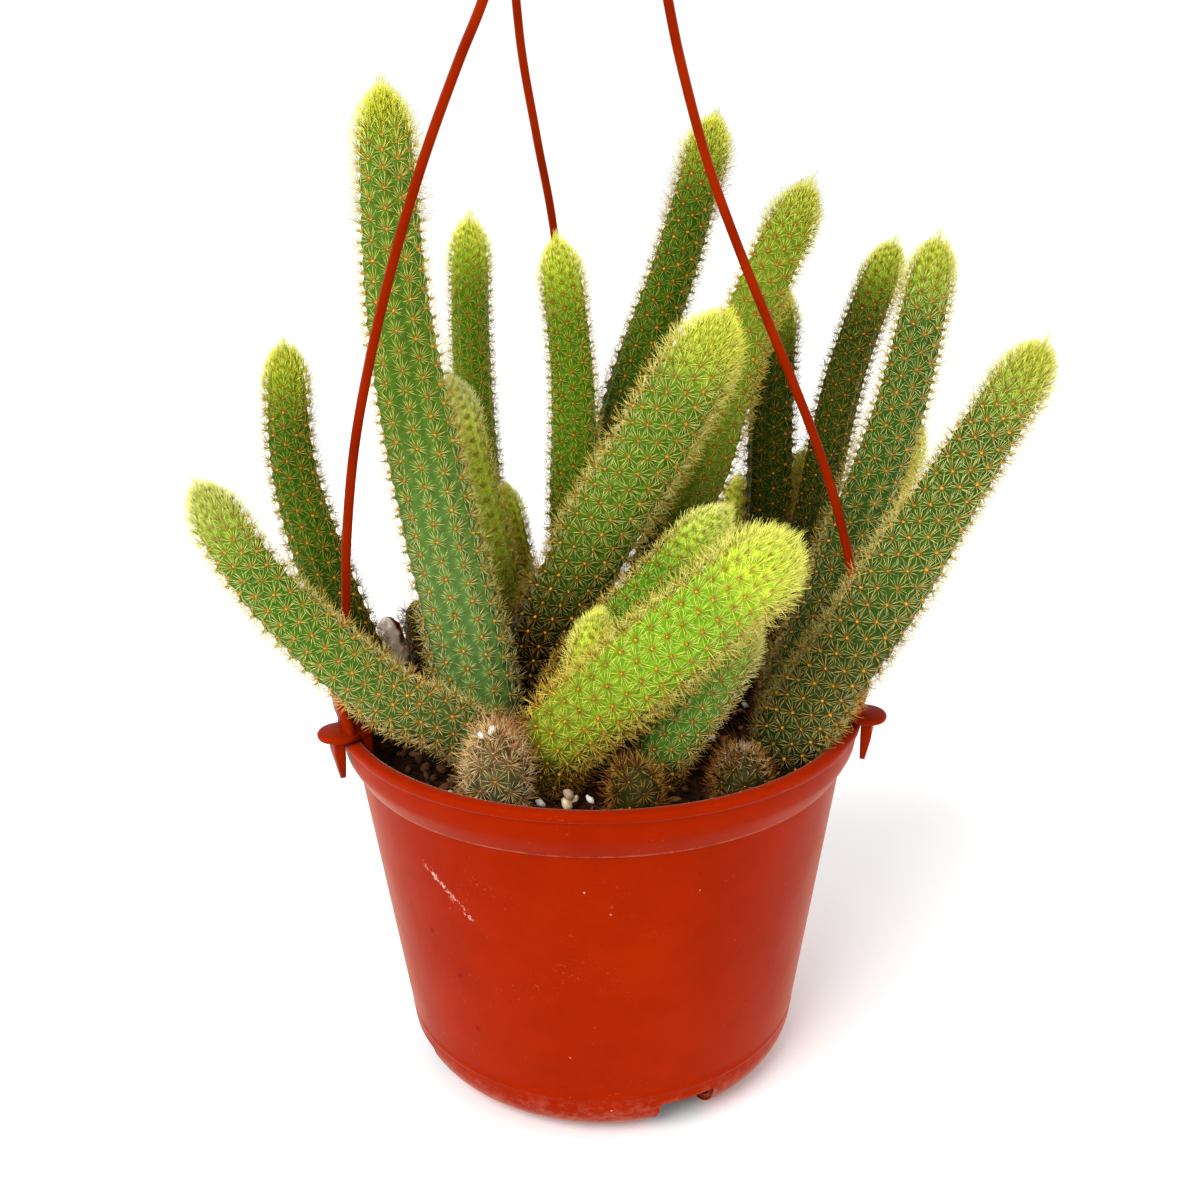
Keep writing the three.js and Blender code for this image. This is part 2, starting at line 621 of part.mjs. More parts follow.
// The hub: a domed boss with a blind socket under it for each strand, and the hook on top of it.
function hook() {
  const boss = turned([
    [0, 0],
    [HUB_RADIUS - 1, 0],
    [HUB_RADIUS, 1],
    [HUB_RADIUS - 0.8, HUB_HEIGHT * 0.62],
    [HUB_RADIUS * 0.6, HUB_HEIGHT * 0.9],
    [HOOK_ROD * 0.7, HUB_HEIGHT],
    [0, HUB_HEIGHT],
  ], 16).translate(HUB.x, HUB.y, HUB.z);
  const loopCentre = new THREE.Vector3(HUB.x, 0, HUB.z + HUB_HEIGHT + 9 + HOOK_RADIUS);
  const line = [-3, 3].map((above) => new THREE.Vector3(HUB.x, 0, HUB.z + HUB_HEIGHT + above));
  for (let a = -50; a <= 205; a += 30) {
    const angle = THREE.MathUtils.degToRad(a);
    const outward = new THREE.Vector3(Math.cos(angle), 0, Math.sin(angle));
    line.push(loopCentre.clone().addScaledVector(outward, HOOK_RADIUS));
  }
  const section = new THREE.Shape(Array.from({ length: 8 }, (_, i) => {
    const a = (Math.PI * (2 * i + 1)) / 8;
    return new THREE.Vector2(Math.cos(a), Math.sin(a)).multiplyScalar(HOOK_ROD / 2 / Math.cos(Math.PI / 8));
  }));
  const rod = new THREE.ExtrudeGeometry(section, {
    steps: 20,
    extrudePath: new THREE.CatmullRomCurve3(line, false, 'centripetal'),
    bevelEnabled: false,
  });
  let whole = solidOf(boss).add(solidOf(rod));
  hangers.forEach((hanger) => {
    const bore = STRAND / 2 + 0.55;
    const socket = new THREE.CylinderGeometry(bore, bore, 2 * SOCKET_DEPTH, 8).rotateX(Math.PI / 2);
    const place = socketOf(hanger);
    whole = whole.subtract(solidOf(socket.translate(place.x, place.y, HUB.z)));
  });
  addPart('hanger_hook', geometryOf(whole), 'hanger');
}

pot();
soil();
hook();
hangers.forEach((hanger) => addPart(hanger.name, geometryOf(strand(hanger).add(clip(hanger))), 'hanger'));
stems.forEach((stem, i) => stem.build(i + 1));

export default model;
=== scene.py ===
"""Potted golden rat tail cactus: a clump of spiny stems in a red-orange nursery pot with a clip-on hanger.

Lengths are in millimetres and become metres where a mesh is made. +Z is up, the pot stands on z = 0 with its
centre at the origin, and -Y is towards the camera.
"""
import math

import bpy
import numpy as np
from mathutils import Matrix, Vector


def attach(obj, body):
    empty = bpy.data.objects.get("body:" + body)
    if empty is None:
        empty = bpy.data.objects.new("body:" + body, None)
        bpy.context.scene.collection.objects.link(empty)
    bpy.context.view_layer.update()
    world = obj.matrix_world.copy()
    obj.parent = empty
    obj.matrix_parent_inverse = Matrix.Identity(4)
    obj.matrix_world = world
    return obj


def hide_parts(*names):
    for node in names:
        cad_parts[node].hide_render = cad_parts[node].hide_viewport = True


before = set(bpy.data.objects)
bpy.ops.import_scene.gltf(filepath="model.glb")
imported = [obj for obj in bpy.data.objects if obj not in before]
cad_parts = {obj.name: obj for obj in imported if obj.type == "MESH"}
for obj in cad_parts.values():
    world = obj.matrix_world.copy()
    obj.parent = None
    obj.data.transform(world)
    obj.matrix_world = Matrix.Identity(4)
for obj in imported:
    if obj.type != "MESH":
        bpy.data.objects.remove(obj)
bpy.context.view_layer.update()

MM = 0.001
TURN = 2 * np.pi

# Pot
POT_HEIGHT = 111.2
RIM_RADIUS = 76.0
LIP_WIDTH = 4.0
FLANGE = 2.2
BAND_FOOT = 97.5
BAND_FOOT_RADIUS = 71.6
SHOULDER = 102.5
SHOULDER_RADIUS = 74.4
BAND_TOP_RADIUS = 75.1
WALL_TOP_RADIUS = 70.9
WALL_FOOT_RADIUS = 59.5
CORNER_RADIUS = 14.0
WALL = 1.8
SEAM_HEIGHT = 15.2
SEAM_DEPTH = 0.12
NOTCHES = 4
NOTCH_WIDTH = 17.0
NOTCH_HEIGHT = 11.4
NOTCH_BACK = 41.0
FIRST_NOTCH = 23.0
POT_COLUMNS = 240
NOTCH_COLUMNS = 6
CORNER_STEPS = 16

# Soil: each of the bed's waves is a length and a height.
SOIL_RADIUS = 69.9
SOIL_EDGE = 101.0
SOIL_MIDDLE = 104.0
SOIL_RINGS = 40
SOIL_WAVES = ((17, 0.45), (8, 0.35), (3.7, 0.3))
GAP = 0.35
LITTER = 1000
LITTER_RADIUS = 67
GRAIN_RINGS = 4
GRAIN_COLUMNS = 7

# Stems
ROOT_DEPTH = 9.0
FOOT_SHARE = 0.86
FOOT_LENGTH = 14
TIP_LENGTH = 2.3
BLUNT_TIP_LENGTH = 1.6
TIP_POWER = 0.58
BLUNT_TIP_POWER = 0.5
RING_STEP = 1.5
TIP_RINGS = 8
RIB_DEPTH = 0.08
TUBERCLE = 0.7
THIN_SPACING = 3.4
SPACING_PER_RADIUS = 0.17
STUMP_SPACING = 0.8
TIP_SPACING = 2.4
AREOLE_RADIUS = 0.52
AREOLE_HEIGHT = 0.8

# Spines: how many an areole has, how long they are, and from how many degrees to how many they rise.
RADIAL_SPINES = 14
CENTRAL_SPINES = 6
RADIAL_LENGTH = 4.4
CENTRAL_LENGTH = 4.9
RADIAL_RISE = (10, 36)
CENTRAL_RISE = (40, 75)
SPINE_WIDTH = 0.16
SPINE_TIP_WIDTH = 0.09
# The lengths below a growing tip over which the spines lean upwards and crowd into a tuft, and its brush.
LEAN = 40.0
TUFT = 24.0
CROWN_BRISTLES = 340
CROWN_SHARE = 0.65
CROWN_LENGTH = 5.6
CROWN_EDGE_LENGTH = 2.8
GOLDEN_ANGLE = np.pi * (3 - math.sqrt(5))

# Hanger
STRAND = 2.6
STRAND_RINGS = 150
STRAND_COLUMNS = 24
HUB = np.array([-3.0, 0.0, 384.0])
HUB_RADIUS = 10.5
HUB_HEIGHT = 14.0
SOCKET_RADIUS = 5.8
SOCKET_DEPTH = 6.0
HOOK_NECK = 9.0
HOOK_RADIUS = 14.0
HOOK_ROD = 4.6
HOOK_RINGS = 90
HOOK_COLUMNS = 20
DISC_RADIUS = 6.2
DISC_THICKNESS = 2.0
DISC_CENTRE = 76.8
BRIDGE_THICKNESS = 2.4
CLIP_WIDTH = 8.0
PRONG_DEPTH = 12.0
PRONG_THICKNESS = 3.0
PRONG_TIP_SHARE = 0.45
PRONG_TIP_WIDTH = 2.8
PRONG_TAPER = 8.0
INNER_LEG_DEPTH = 7.0
INNER_LEG_THICKNESS = 2.6
BEVEL = 0.5

# Camera: where it stands, how far it looks down, aside and tilts (degrees), and its lens on a 36 mm sensor.
CAMERA_PLACE = (-5.11, -354.63, 259.73)
CAMERA_DOWN = 18.61
CAMERA_ASIDE = -0.90
CAMERA_TILT = -0.594
CAMERA_LENS = 39.0


def linear(red, green, blue):
    """A colour given as 0-255 screen values, as the linear values that shaders and attributes use."""
    screen = np.array([red, green, blue]) / 255
    return np.where(screen <= 0.04045, screen / 12.92, ((screen + 0.055) / 1.055) ** 2.4)


def smooth_step(low, high, value):
    """0 below low, 1 above high, and an S-shaped cubic between them."""
    t = np.clip((value - low) / (high - low), 0, 1)
    return t * t * (3 - 2 * t)


def blend(first, second, share):
    """A mix of two colours or points, share 0 giving the first; share may be an array, one value a point."""
    share = np.asarray(share)[..., None]
    return first * (1 - share) + second * share


def unit(vectors):
    """Each vector divided by its length."""
    return vectors / np.linalg.norm(vectors, axis=-1, keepdims=True)


def angles_round(count):
    """Angles of count points spread evenly round a circle."""
    return TURN * np.arange(count) / count


def round_z(radius, turn, height):
    """Points at a radius from the Z axis, at an angle round it and at a height."""
    return np.stack([radius * np.cos(turn), radius * np.sin(turn), height + 0 * turn], -1)


# Meshes

def grid_faces(rows, columns):
    """Triangles of a rows x columns grid of points whose columns close round into a tube."""
    row, column = np.meshgrid(np.arange(rows - 1), np.arange(columns), indexing="ij")
    a = row * columns + column
    b = row * columns + (column + 1) % columns
    return np.concatenate([
        np.stack([a, b, b + columns], -1).reshape(-1, 3),
        np.stack([a, b + columns, a + columns], -1).reshape(-1, 3),
    ])


def fan_faces(ring, centre, outwards=True):
    """Triangles from each edge of a ring of point numbers to one centre point."""
    after = np.roll(ring, -1)
    centre = np.full_like(ring, centre)
    return np.stack([ring, after, centre] if outwards else [after, ring, centre], -1)


def closed_tube(rows, columns):
    """Triangles of a grid tube and of the fans that close its two ends. The point that closes the first ring
    comes right after the grid's points, and the one that closes the last ring after that."""
    count = rows * columns
    return np.concatenate([
        grid_faces(rows, columns),
        fan_faces(np.arange(columns), count, outwards=False),
        fan_faces(np.arange(count - columns, count), count + 1),
    ])


def make_piece(name, points, faces, materials, node, tint=None, kinds=None):
    """One mesh object from points in millimetres and triangles. kinds numbers each face's material, and tint
    is a colour for each point. The piece rides on the pot's body and stands for the node named."""
    mesh = bpy.data.meshes.new(name)
    mesh.vertices.add(len(points))
    mesh.vertices.foreach_set("co", (np.asarray(points) * MM).astype(np.float32).ravel())
    mesh.loops.add(faces.size)
    mesh.loops.foreach_set("vertex_index", faces.astype(np.int32).ravel())
    mesh.polygons.add(len(faces))
    mesh.polygons.foreach_set("loop_start", np.arange(0, faces.size, 3, dtype=np.int32))
    mesh.update(calc_edges=True)
    for material in materials:
        mesh.materials.append(material)
    if kinds is not None:
        mesh.polygons.foreach_set("material_index", kinds.astype(np.int32))
    if tint is not None:
        layer = mesh.attributes.new("tint", "FLOAT_COLOR", "POINT")
        layer.data.foreach_set("color", np.c_[tint, np.ones(len(tint))].astype(np.float32).ravel())
    mesh.polygons.foreach_set("use_smooth", np.ones(len(faces), bool))
    mesh.validate()
    piece = bpy.data.objects.new(name, mesh)
    bpy.context.scene.collection.objects.link(piece)
    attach(piece, "root")
    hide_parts(node)


def joined(parts):
    """Several (points, faces, tint) sets as one, with a number for each face saying which set it is from."""
    shift = np.cumsum([0] + [len(p) for p, _, _ in parts])
    return (
        np.concatenate([p for p, _, _ in parts]),
        np.concatenate([f + n for (_, f, _), n in zip(parts, shift)]),
        np.concatenate([t for _, _, t in parts]),
        np.concatenate([np.full(len(f), i) for i, (_, f, _) in enumerate(parts)]),
    )


def bare(shapes):
    """Several (points, faces) shapes as one."""
    points, faces, _, _ = joined([(p, f, np.zeros((len(p), 3))) for p, f in shapes])
    return points, faces


# Materials

class Finish:
    """A procedural material: one surface shader, and short ways to add what colours and roughens it."""

    def __init__(self, name, roughness, colour=(0.5, 0.5, 0.5), **sockets):
        self.material = bpy.data.materials.new(name)
        self.material.use_nodes = True
        self.tree = self.material.node_tree
        self.set(Base_Color=colour, Roughness=roughness, **sockets)
        self.place = self.add("TexCoord", "Object")

    def join(self, source, target):
        """Links an output to a socket, or sets the socket where the source is a plain value."""
        if isinstance(source, bpy.types.NodeSocket):
            self.tree.links.new(source, target)
        elif isinstance(source, (tuple, list, np.ndarray)):
            values = tuple(float(v) for v in source)
            target.default_value = values + (1.0,) * (len(target.default_value) - len(values))
        else:
            target.default_value = source

    def set(self, **sockets):
        """Gives sockets of the surface shader their sources; in their names _ stands for a space."""
        for socket, source in sockets.items():
            self.join(source, self.tree.nodes["Principled BSDF"].inputs[socket.replace("_", " ")])

    def add(self, kind, output, sources=None, **settings):
        """Adds a node with its settings and the sources of its inputs, and gives one of its outputs."""
        node = self.tree.nodes.new("ShaderNode" + kind)
        for name, value in settings.items():
            setattr(node, name, value)
        for socket, source in (sources or {}).items():
            self.join(source, node.inputs[socket])
        return node.outputs[output]

    def attribute(self, name):
        """A colour stored with the mesh's points."""
        return self.add("Attribute", "Color", attribute_name=name)

    def noise(self, size, detail, roughness=0.5):
        """Noise whose features are about size millimetres across."""
        return self.add("TexNoise", "Fac", {"Scale": 1 / (size * MM), "Detail": detail,
                                            "Roughness": roughness, "Vector": self.place})

    def ramp(self, value, *stops):
        """A smooth ramp through (position, colour or grey) stops."""
        node = self.tree.nodes.new("ShaderNodeValToRGB")
        elements = node.color_ramp.elements
        while len(elements) < len(stops):
            elements.new(0.5)
        for element, (position, colour) in zip(elements, stops):
            element.position = position
            rgb = (colour,) * 3 if np.isscalar(colour) else tuple(colour)
            element.color = (*rgb, 1)
        self.join(value, node.inputs["Fac"])
        return node.outputs["Color"]

    def mix(self, share, first, second, kind="MIX"):
        """Two colours mixed, share 0 giving the first, or multiplied where kind says so. The colours are the
        node's inputs 6 and 7 and its output 2."""
        return self.add("Mix", 2, {"Factor": share, 6: first, 7: second}, data_type="RGBA", blend_type=kind)

    def math(self, operation, first, second=0.0, third=0.0, clamp=False):
        """Arithmetic on up to three values, kept between 0 and 1 where clamp is set."""
        return self.add("Math", 0, {0: first, 1: second, 2: third}, operation=operation, use_clamp=clamp)

    def product(self, first, *others):
        """The product of several values."""
        for other in others:
            first = self.math("MULTIPLY", first, other)
        return first

    def greatest(self, first, *others):
        """The greatest of several values."""
        for other in others:
            first = self.math("MAXIMUM", first, other)
        return first

    def left_of(self, value, whole):
        """1 - value / whole, but not below 0: 1 where the value is 0, falling evenly to 0 at the whole."""
        return self.math("SUBTRACT", 1.0, self.math("DIVIDE", value, whole), clamp=True)

    def vector(self, operation, first, second, output="Vector"):
        """Vector arithmetic; a plain second value is a point in millimetres."""
        if not isinstance(second, bpy.types.NodeSocket):
            second = np.multiply(second, MM)
        return self.add("VectorMath", output, {0: first, 1: second}, operation=operation)

    def spot(self, centre, radius):
        """1 at a point of the surface, falling evenly to 0 at the radius (millimetres)."""
        return self.left_of(self.vector("DISTANCE", self.place, centre, "Value"), radius * MM)

    def streak(self, start, end, radius):
        """1 on the straight line between two points, falling evenly to 0 at the radius (millimetres). The
        line's nearest point is this share of it along: (place - start) . (end - start) / length squared."""
        line = np.subtract(end, start)
        offset = self.vector("SUBTRACT", self.place, start)
        dot = self.vector("DOT_PRODUCT", offset, line, "Value")
        share = self.math("DIVIDE", dot, line @ line * MM**2, clamp=True)
        nearest = self.add("VectorMath", "Vector", {0: line * MM, "Scale": share}, operation="SCALE")
        return self.left_of(self.vector("DISTANCE", offset, nearest, "Value"), radius * MM)

    def facing(self):
        """0 where the surface is seen square on, 1 where it is seen edge on: for gloss only."""
        return self.add("LayerWeight", "Facing", {"Blend": 0.5})

    def height(self):
        """The height above the table, in millimetres."""
        return self.math("DIVIDE", self.add("SeparateXYZ", "Z", {0: self.place}), MM)

    def bump(self, height, strength, depth):
        """Raises the surface by a height map; depth is its full height in millimetres."""
        self.set(Normal=self.add("Bump", "Normal", {"Strength": strength, "Distance": depth * MM,
                                                    "Height": height}))


# The plastics' colours (linear), the tint of their faint shine, and the pale bloom at a rounded edge.
POT_DARK = (0.275, 0.0112, 0.0)
POT_LIGHT = (0.33, 0.0152, 0.0)
HANGER_DARK = (0.2, 0.009, 0.0)
HANGER_LIGHT = (0.3, 0.018, 0.0)
SHINE = 0.025
SHINE_TINT = (1.0, 0.25, 0.02, 1)
PALE_EDGE = (1.0, 0.74, 0.5, 1)
DUST = linear(226, 150, 122)
RUBBED = linear(240, 196, 176)
DEEP_RED = linear(120, 14, 4)
# Marks on the pot's wall: angle from +X in degrees, height, and radius where given.
SCRATCH = [(226.8, 84.1), (229.0, 82.6), (231.8, 79.6), (234.2, 77.2), (236.6, 75.6), (237.3, 73.9),
           (238.6, 71.9)]
SCRATCH_RADIUS = 2.8
SCUFFS = [(265.7, 86.2, 1.1), (270.9, 79.3, 1.2), (267.2, 41.5, 1.0), (260.8, 30.3, 1.1), (253.3, 14.2, 1.6),
          (260.2, 15.5, 1.2), (271.3, 11.4, 1.3), (290.5, 83.7, 1.0), (301.4, 63.4, 1.0), (285.6, 102.5, 1.2)]
DARK_SPOTS = [(224.6, 61.7), (232.2, 50.3), (235.4, 33.2)]
DARK_SPOT_RADIUS = 1.1
GRIME_HEIGHT = 16.0
# The tint of the plant's waxy shine.
WAXY = (1.0, 0.9, 0.4, 1)


def on_wall(azimuth, height):
    """A point on the outside of the pot's wall, at an angle from +X and a height."""
    share = (height - CORNER_RADIUS) / (BAND_FOOT - CORNER_RADIUS)
    radius = WALL_FOOT_RADIUS + (WALL_TOP_RADIUS - WALL_FOOT_RADIUS) * share
    return round_z(radius, math.radians(azimuth), height)


def pot_finish():
    """Red-orange moulded plastic: slow colour drift, fine pits, chalky dust low down and on the step, a
    scratch, pale rubbed spots and a few dark red ones."""
    finish = Finish("pot_plastic", 0.4, Specular_IOR_Level=SHINE, Specular_Tint=SHINE_TINT,
                    Sheen_Roughness=0.3, Sheen_Tint=PALE_EDGE)
    bloom = finish.ramp(finish.facing(), (0.2, 0.0), (0.85, 0.32))
    finish.set(Sheen_Weight=bloom)
    drift = finish.ramp(finish.noise(42, 4), (0.3, POT_DARK), (0.7, POT_LIGHT))
    blotch = finish.ramp(finish.noise(9, 5, 0.7), (0.35, 0.93), (0.7, 1.05))
    worn = finish.mix(1.0, drift, blotch, "MULTIPLY")
    cloud = finish.ramp(finish.noise(16, 5, 0.7), (0.5, 0.0), (0.75, 1.0))
    specks = finish.ramp(finish.noise(0.9, 3, 0.6), (0.62, 0.0), (0.72, 1.0))
    height = finish.height()
    off_step = finish.math("ABSOLUTE", finish.math("SUBTRACT", height, BAND_FOOT))
    broken = finish.ramp(finish.noise(5, 4, 0.7), (0.42, 0.0), (0.62, 1.0))
    patchy = finish.ramp(finish.noise(3.2, 4, 0.7), (0.46, 0.0), (0.66, 1.0))
    for dust in (
        finish.product(cloud, specks, 0.3),
        finish.product(finish.left_of(off_step, 0.5), broken, 0.3),
        finish.product(finish.left_of(height, GRIME_HEIGHT), patchy, 0.4),
    ):
        worn = finish.mix(dust, worn, DUST)
    corners = [on_wall(*corner) for corner in SCRATCH]
    marks = finish.greatest(
        *[finish.streak(start, end, SCRATCH_RADIUS) for start, end in zip(corners, corners[1:])],
        *[finish.spot(on_wall(azimuth, high), radius) for azimuth, high, radius in SCUFFS])
    ragged = finish.math("MULTIPLY_ADD", marks, 0.3, finish.noise(1.2, 5, 0.8))
    worn = finish.mix(finish.ramp(ragged, (0.76, 0.0), (0.86, 0.85)), worn, RUBBED)
    dark = finish.greatest(*[finish.spot(on_wall(*spot), DARK_SPOT_RADIUS) for spot in DARK_SPOTS])
    worn = finish.mix(finish.math("MULTIPLY", dark, 1.4, clamp=True), worn, DEEP_RED)
    finish.set(Base_Color=worn)
    finish.set(Roughness=finish.ramp(finish.noise(14, 5, 0.6), (0.3, 0.36), (0.7, 0.5)))
    ripple = finish.math("MULTIPLY", finish.noise(13, 3), 3.0)
    finish.bump(finish.math("ADD", finish.noise(0.9, 2), ripple), 0.2, 0.12)
    return finish.material


def hanger_finish():
    """The hanger's red-orange plastic, a little darker and shinier than the pot's."""
    finish = Finish("hanger_plastic", 0.36, Specular_IOR_Level=SHINE, Specular_Tint=SHINE_TINT)
    finish.set(Base_Color=finish.ramp(finish.noise(20, 3), (0.3, HANGER_DARK), (0.7, HANGER_LIGHT)))
    finish.set(Roughness=finish.ramp(finish.noise(6, 4), (0.3, 0.32), (0.7, 0.46)))
    finish.bump(finish.noise(0.8, 2), 0.12, 0.08)
    return finish.material


def soil_finish():
    """Dry potting mix: near-black peat with brown fibres."""
    finish = Finish("potting_mix", 0.95, Specular_IOR_Level=0.05)
    base = finish.ramp(finish.noise(4, 6, 0.75), (0.38, linear(12, 6, 2)), (0.66, linear(66, 38, 18)))
    crumbs = finish.ramp(finish.noise(1.2, 3, 0.6), (0.4, 0.55), (0.65, 1.25))
    finish.set(Base_Color=finish.mix(1.0, base, crumbs, "MULTIPLY"))
    finish.bump(finish.noise(1.4, 5, 0.7), 0.8, 1.2)
    return finish.material


def tinted_finish(name, roughness, size, depth, dark, light, shine, **sockets):
    """A surface coloured by its own point colours, broken up from dark to light by fine noise."""
    finish = Finish(name, roughness, Specular_IOR_Level=shine, **sockets)
    shade = finish.ramp(finish.noise(size, 4, 0.6), (0.3, dark), (0.7, light))
    finish.set(Base_Color=finish.mix(1.0, finish.attribute("tint"), shade, "MULTIPLY"))
    finish.bump(finish.noise(size * 0.5, 3, 0.6), 0.5, depth)
    return finish.material


# Lines and frames

def rounded_line(points, steps=24):
    """A centripetal Catmull-Rom curve: between two points a cubic Hermite whose end slopes come from the
    neighbours, weighted by the square roots of the distances."""
    points = np.asarray(points, float)
    padded = np.concatenate([[2 * points[0] - points[1]], points, [2 * points[-1] - points[-2]]])
    gap = np.maximum(np.linalg.norm(np.diff(padded, axis=0), axis=1) ** 0.5, 1e-4)[:, None]
    p0, p1, p2, p3 = padded[:-3], padded[1:-2], padded[2:-1], padded[3:]
    g0, g1, g2 = gap[:-2], gap[1:-1], gap[2:]
    start = ((p1 - p0) / g0 - (p2 - p0) / (g0 + g1) + (p2 - p1) / g1) * g1
    end = ((p2 - p1) / g1 - (p3 - p1) / (g1 + g2) + (p3 - p2) / g2) * g1
    t = (np.arange(steps) / steps)[None, :, None]
    p1, p2, start, end = (a[:, None, :] for a in (p1, p2, start, end))
    line = ((2 * t**3 - 3 * t**2 + 1) * p1 + (t**3 - 2 * t**2 + t) * start
            + (3 * t**2 - 2 * t**3) * p2 + (t**3 - t**2) * end)
    return np.concatenate([line.reshape(-1, 3), points[-1:]])


class Path:
    """A line of points that gives its place, direction and a side direction at any length along it."""

    def __init__(self, line, reference=(1, 0, 0)):
        self.line = np.asarray(line, float)
        steps = np.linalg.norm(np.diff(self.line, axis=0), axis=1)
        self.lengths = np.concatenate([[0], np.cumsum(steps)])
        self.length = self.lengths[-1]
        self.slopes = unit(np.gradient(self.line, self.lengths, axis=0))
        self.reference = np.asarray(reference, float)

    def between(self, values, s):
        """One vector a point of the line, read evenly between those points at lengths s."""
        return np.stack([np.interp(s, self.lengths, values[:, i]) for i in range(3)], -1)

    def place(self, s):
        """Points of the line at lengths s."""
        return self.between(self.line, s)

    def frames(self, s):
        """Tangent, side and up: the side is the reference direction made square to the tangent."""
        tangent = unit(self.between(self.slopes, s))
        side = unit(self.reference - (tangent @ self.reference)[..., None] * tangent)
        return tangent, side, np.cross(tangent, side)


# Stems: foot (x, y), points of the centre line to the top, radius low, half way and near the top, ribs, kind.
STEMS = {
    "stem_left_low": (
        (-28.5, -30.5), [(-34.5, -33, 112), (-43, -36, 119.5), (-53, -39, 125.7), (-69, -44, 142),
                         (-86, -48.5, 166), (-95, -52, 187)], (6.9, 7.4, 5.5), 12, "front"),
    "stem_left_upright": (
        (-56, -2), [(-64, -3, 114), (-75.4, -5, 147), (-82.6, -6, 181), (-82, -8, 214)],
        (7.2, 7.2, 4.7), 12, "back"),
    "stem_tallest": (
        (-34, -15), [(-35, -13, 120), (-43, -9, 162), (-52, -3, 220), (-54, 4, 277)],
        (11, 10, 6.4), 12, "tall"),
    "stem_back_left": (
        (-31, 42), [(-32, 42, 115), (-35, 42, 156), (-37, 42, 200), (-36, 42, 243)],
        (6.4, 6.1, 5.3), 12, "middle"),
    "stem_behind_tallest": (
        (-29, 20), [(-27, 20, 116), (-31, 19, 144), (-36, 17, 172), (-41, 16, 201)],
        (6.8, 6.6, 4.8), 12, "lime"),
    "shoot_centre": (
        (-20, 30), [(-19, 29, 116), (-23, 28, 142), (-27, 25, 167)], (4.2, 4, 3), 10, "shoot"),
    "stem_back_centre": (
        (-6, 28), [(-7, 26, 120), (-7, 25, 158), (-6.5, 25, 199), (-10, 24, 238)],
        (7.6, 7, 5.3), 12, "middle"),
    "stem_thick_leaning": (
        (-17, 4), [(-17, 3, 124), (-3, -4, 155), (15, -14, 189), (32, -24, 222)],
        (10, 10.4, 8.3), 14, "leaning"),
    "stem_back_high": (
        (-4, 47), [(-2.5, 47, 125), (2.5, 46, 152), (11, 44, 191), (24.5, 41, 231), (35, 38, 270)],
        (8.2, 8, 5.4), 12, "back"),
    "stem_back_right": (
        (10.5, 12), [(12.5, 12, 124), (19, 12.5, 150), (30.5, 13, 175), (42, 13, 215), (58, 14, 252)],
        (8.3, 7.8, 6.2), 12, "sunlit"),
    "stem_back_upright": (
        (45, 29), [(49, 32, 118), (53, 33, 151), (53, 33, 188), (54, 34, 224)],
        (7.4, 7.3, 5.9), 12, "shaded"),
    "stem_right_inner": (
        (59, 21), [(60.5, 24, 126), (67.2, 27, 163), (74, 28, 200), (86, 30, 236)],
        (6.4, 6.3, 5.2), 12, "inner"),
    "stem_right": (
        (52, -5), [(57, -3, 115), (71, 0, 153), (85, 4, 196), (93, 8, 238)],
        (8.4, 7.8, 5.7), 12, "right"),
    "stem_right_hidden": (
        (60.5, 7), [(62.5, 9.8, 115), (77, 22, 133), (88, 26, 158), (96, 30, 184)],
        (5.6, 5.6, 4.5), 10, "shoot"),
    "stem_far_right": (
        (47.6, -31), [(52.5, -33, 115), (68.5, -36.5, 142.5), (88.5, -37, 180), (107, -40, 216)],
        (9.4, 9, 5.6), 14, "right"),
    "stem_front_upper": (
        (-11, -15), [(-10, -15, 118), (2.3, -19, 136.5), (17, -26, 155), (32, -32, 174)],
        (6.6, 6.4, 5.6), 12, "fresh"),
    "stem_front_bright": (
        (-16.5, -40.5), [(-11.5, -42.5, 116), (6, -48, 135), (25.5, -53, 154), (44.5, -58.5, 173)],
        (9.4, 9.8, 8.6), 14, "bright"),
    "shoot_front": (
        (-5, -30), [(-6, -31, 120), (-4, -32, 133), (0, -33, 147)], (4.4, 4.4, 3.7), 10, "bright"),
    "stem_front_under": (
        (14, -42), [(15, -42, 110), (26, -41, 127), (39, -40, 148)], (7, 7, 5.7), 12, "under"),
    "stump_front_left": ((-28, -55), [(-27, -55, 115), (-28, -53, 123)], (7.4, 7.4, 6.6), 12, "grey_stump"),
    "stump_front_centre": ((8, -60), [(8, -60, 110), (7, -58, 117)], (6, 6, 5.4), 10, "dark_stump"),
    "stump_front_right": ((36, -50), [(36, -50, 109), (36, -48, 115)], (6.8, 6.8, 6), 12, "dark_stump"),
    "stub_left_dry": ((-60, 12), [(-62, 12, 123), (-63, 12, 132)], (4.5, 4.4, 4.1), 10, "dry"),
    "stem_left_small": ((-48, 18), [(-54, 18, 122), (-55, 18, 135)], (5, 4.8, 4.2), 10, "dark_stump"),
    "shoot_back_right": ((36, 50), [(43, 50, 123), (46, 50, 163)], (4.8, 4.8, 4), 10, "shoot"),
    "shoot_back_far": (
        (47, 43), [(48.5, 42.5, 113), (60, 45, 128), (66, 46, 172)], (4.8, 4.7, 4), 10, "shoot"),
}
BLUNT = {"stem_front_bright", "stump_front_left", "stump_front_centre", "stump_front_right", "stub_left_dry"}
STUMPS = {"grey_stump", "dark_stump", "dry"}

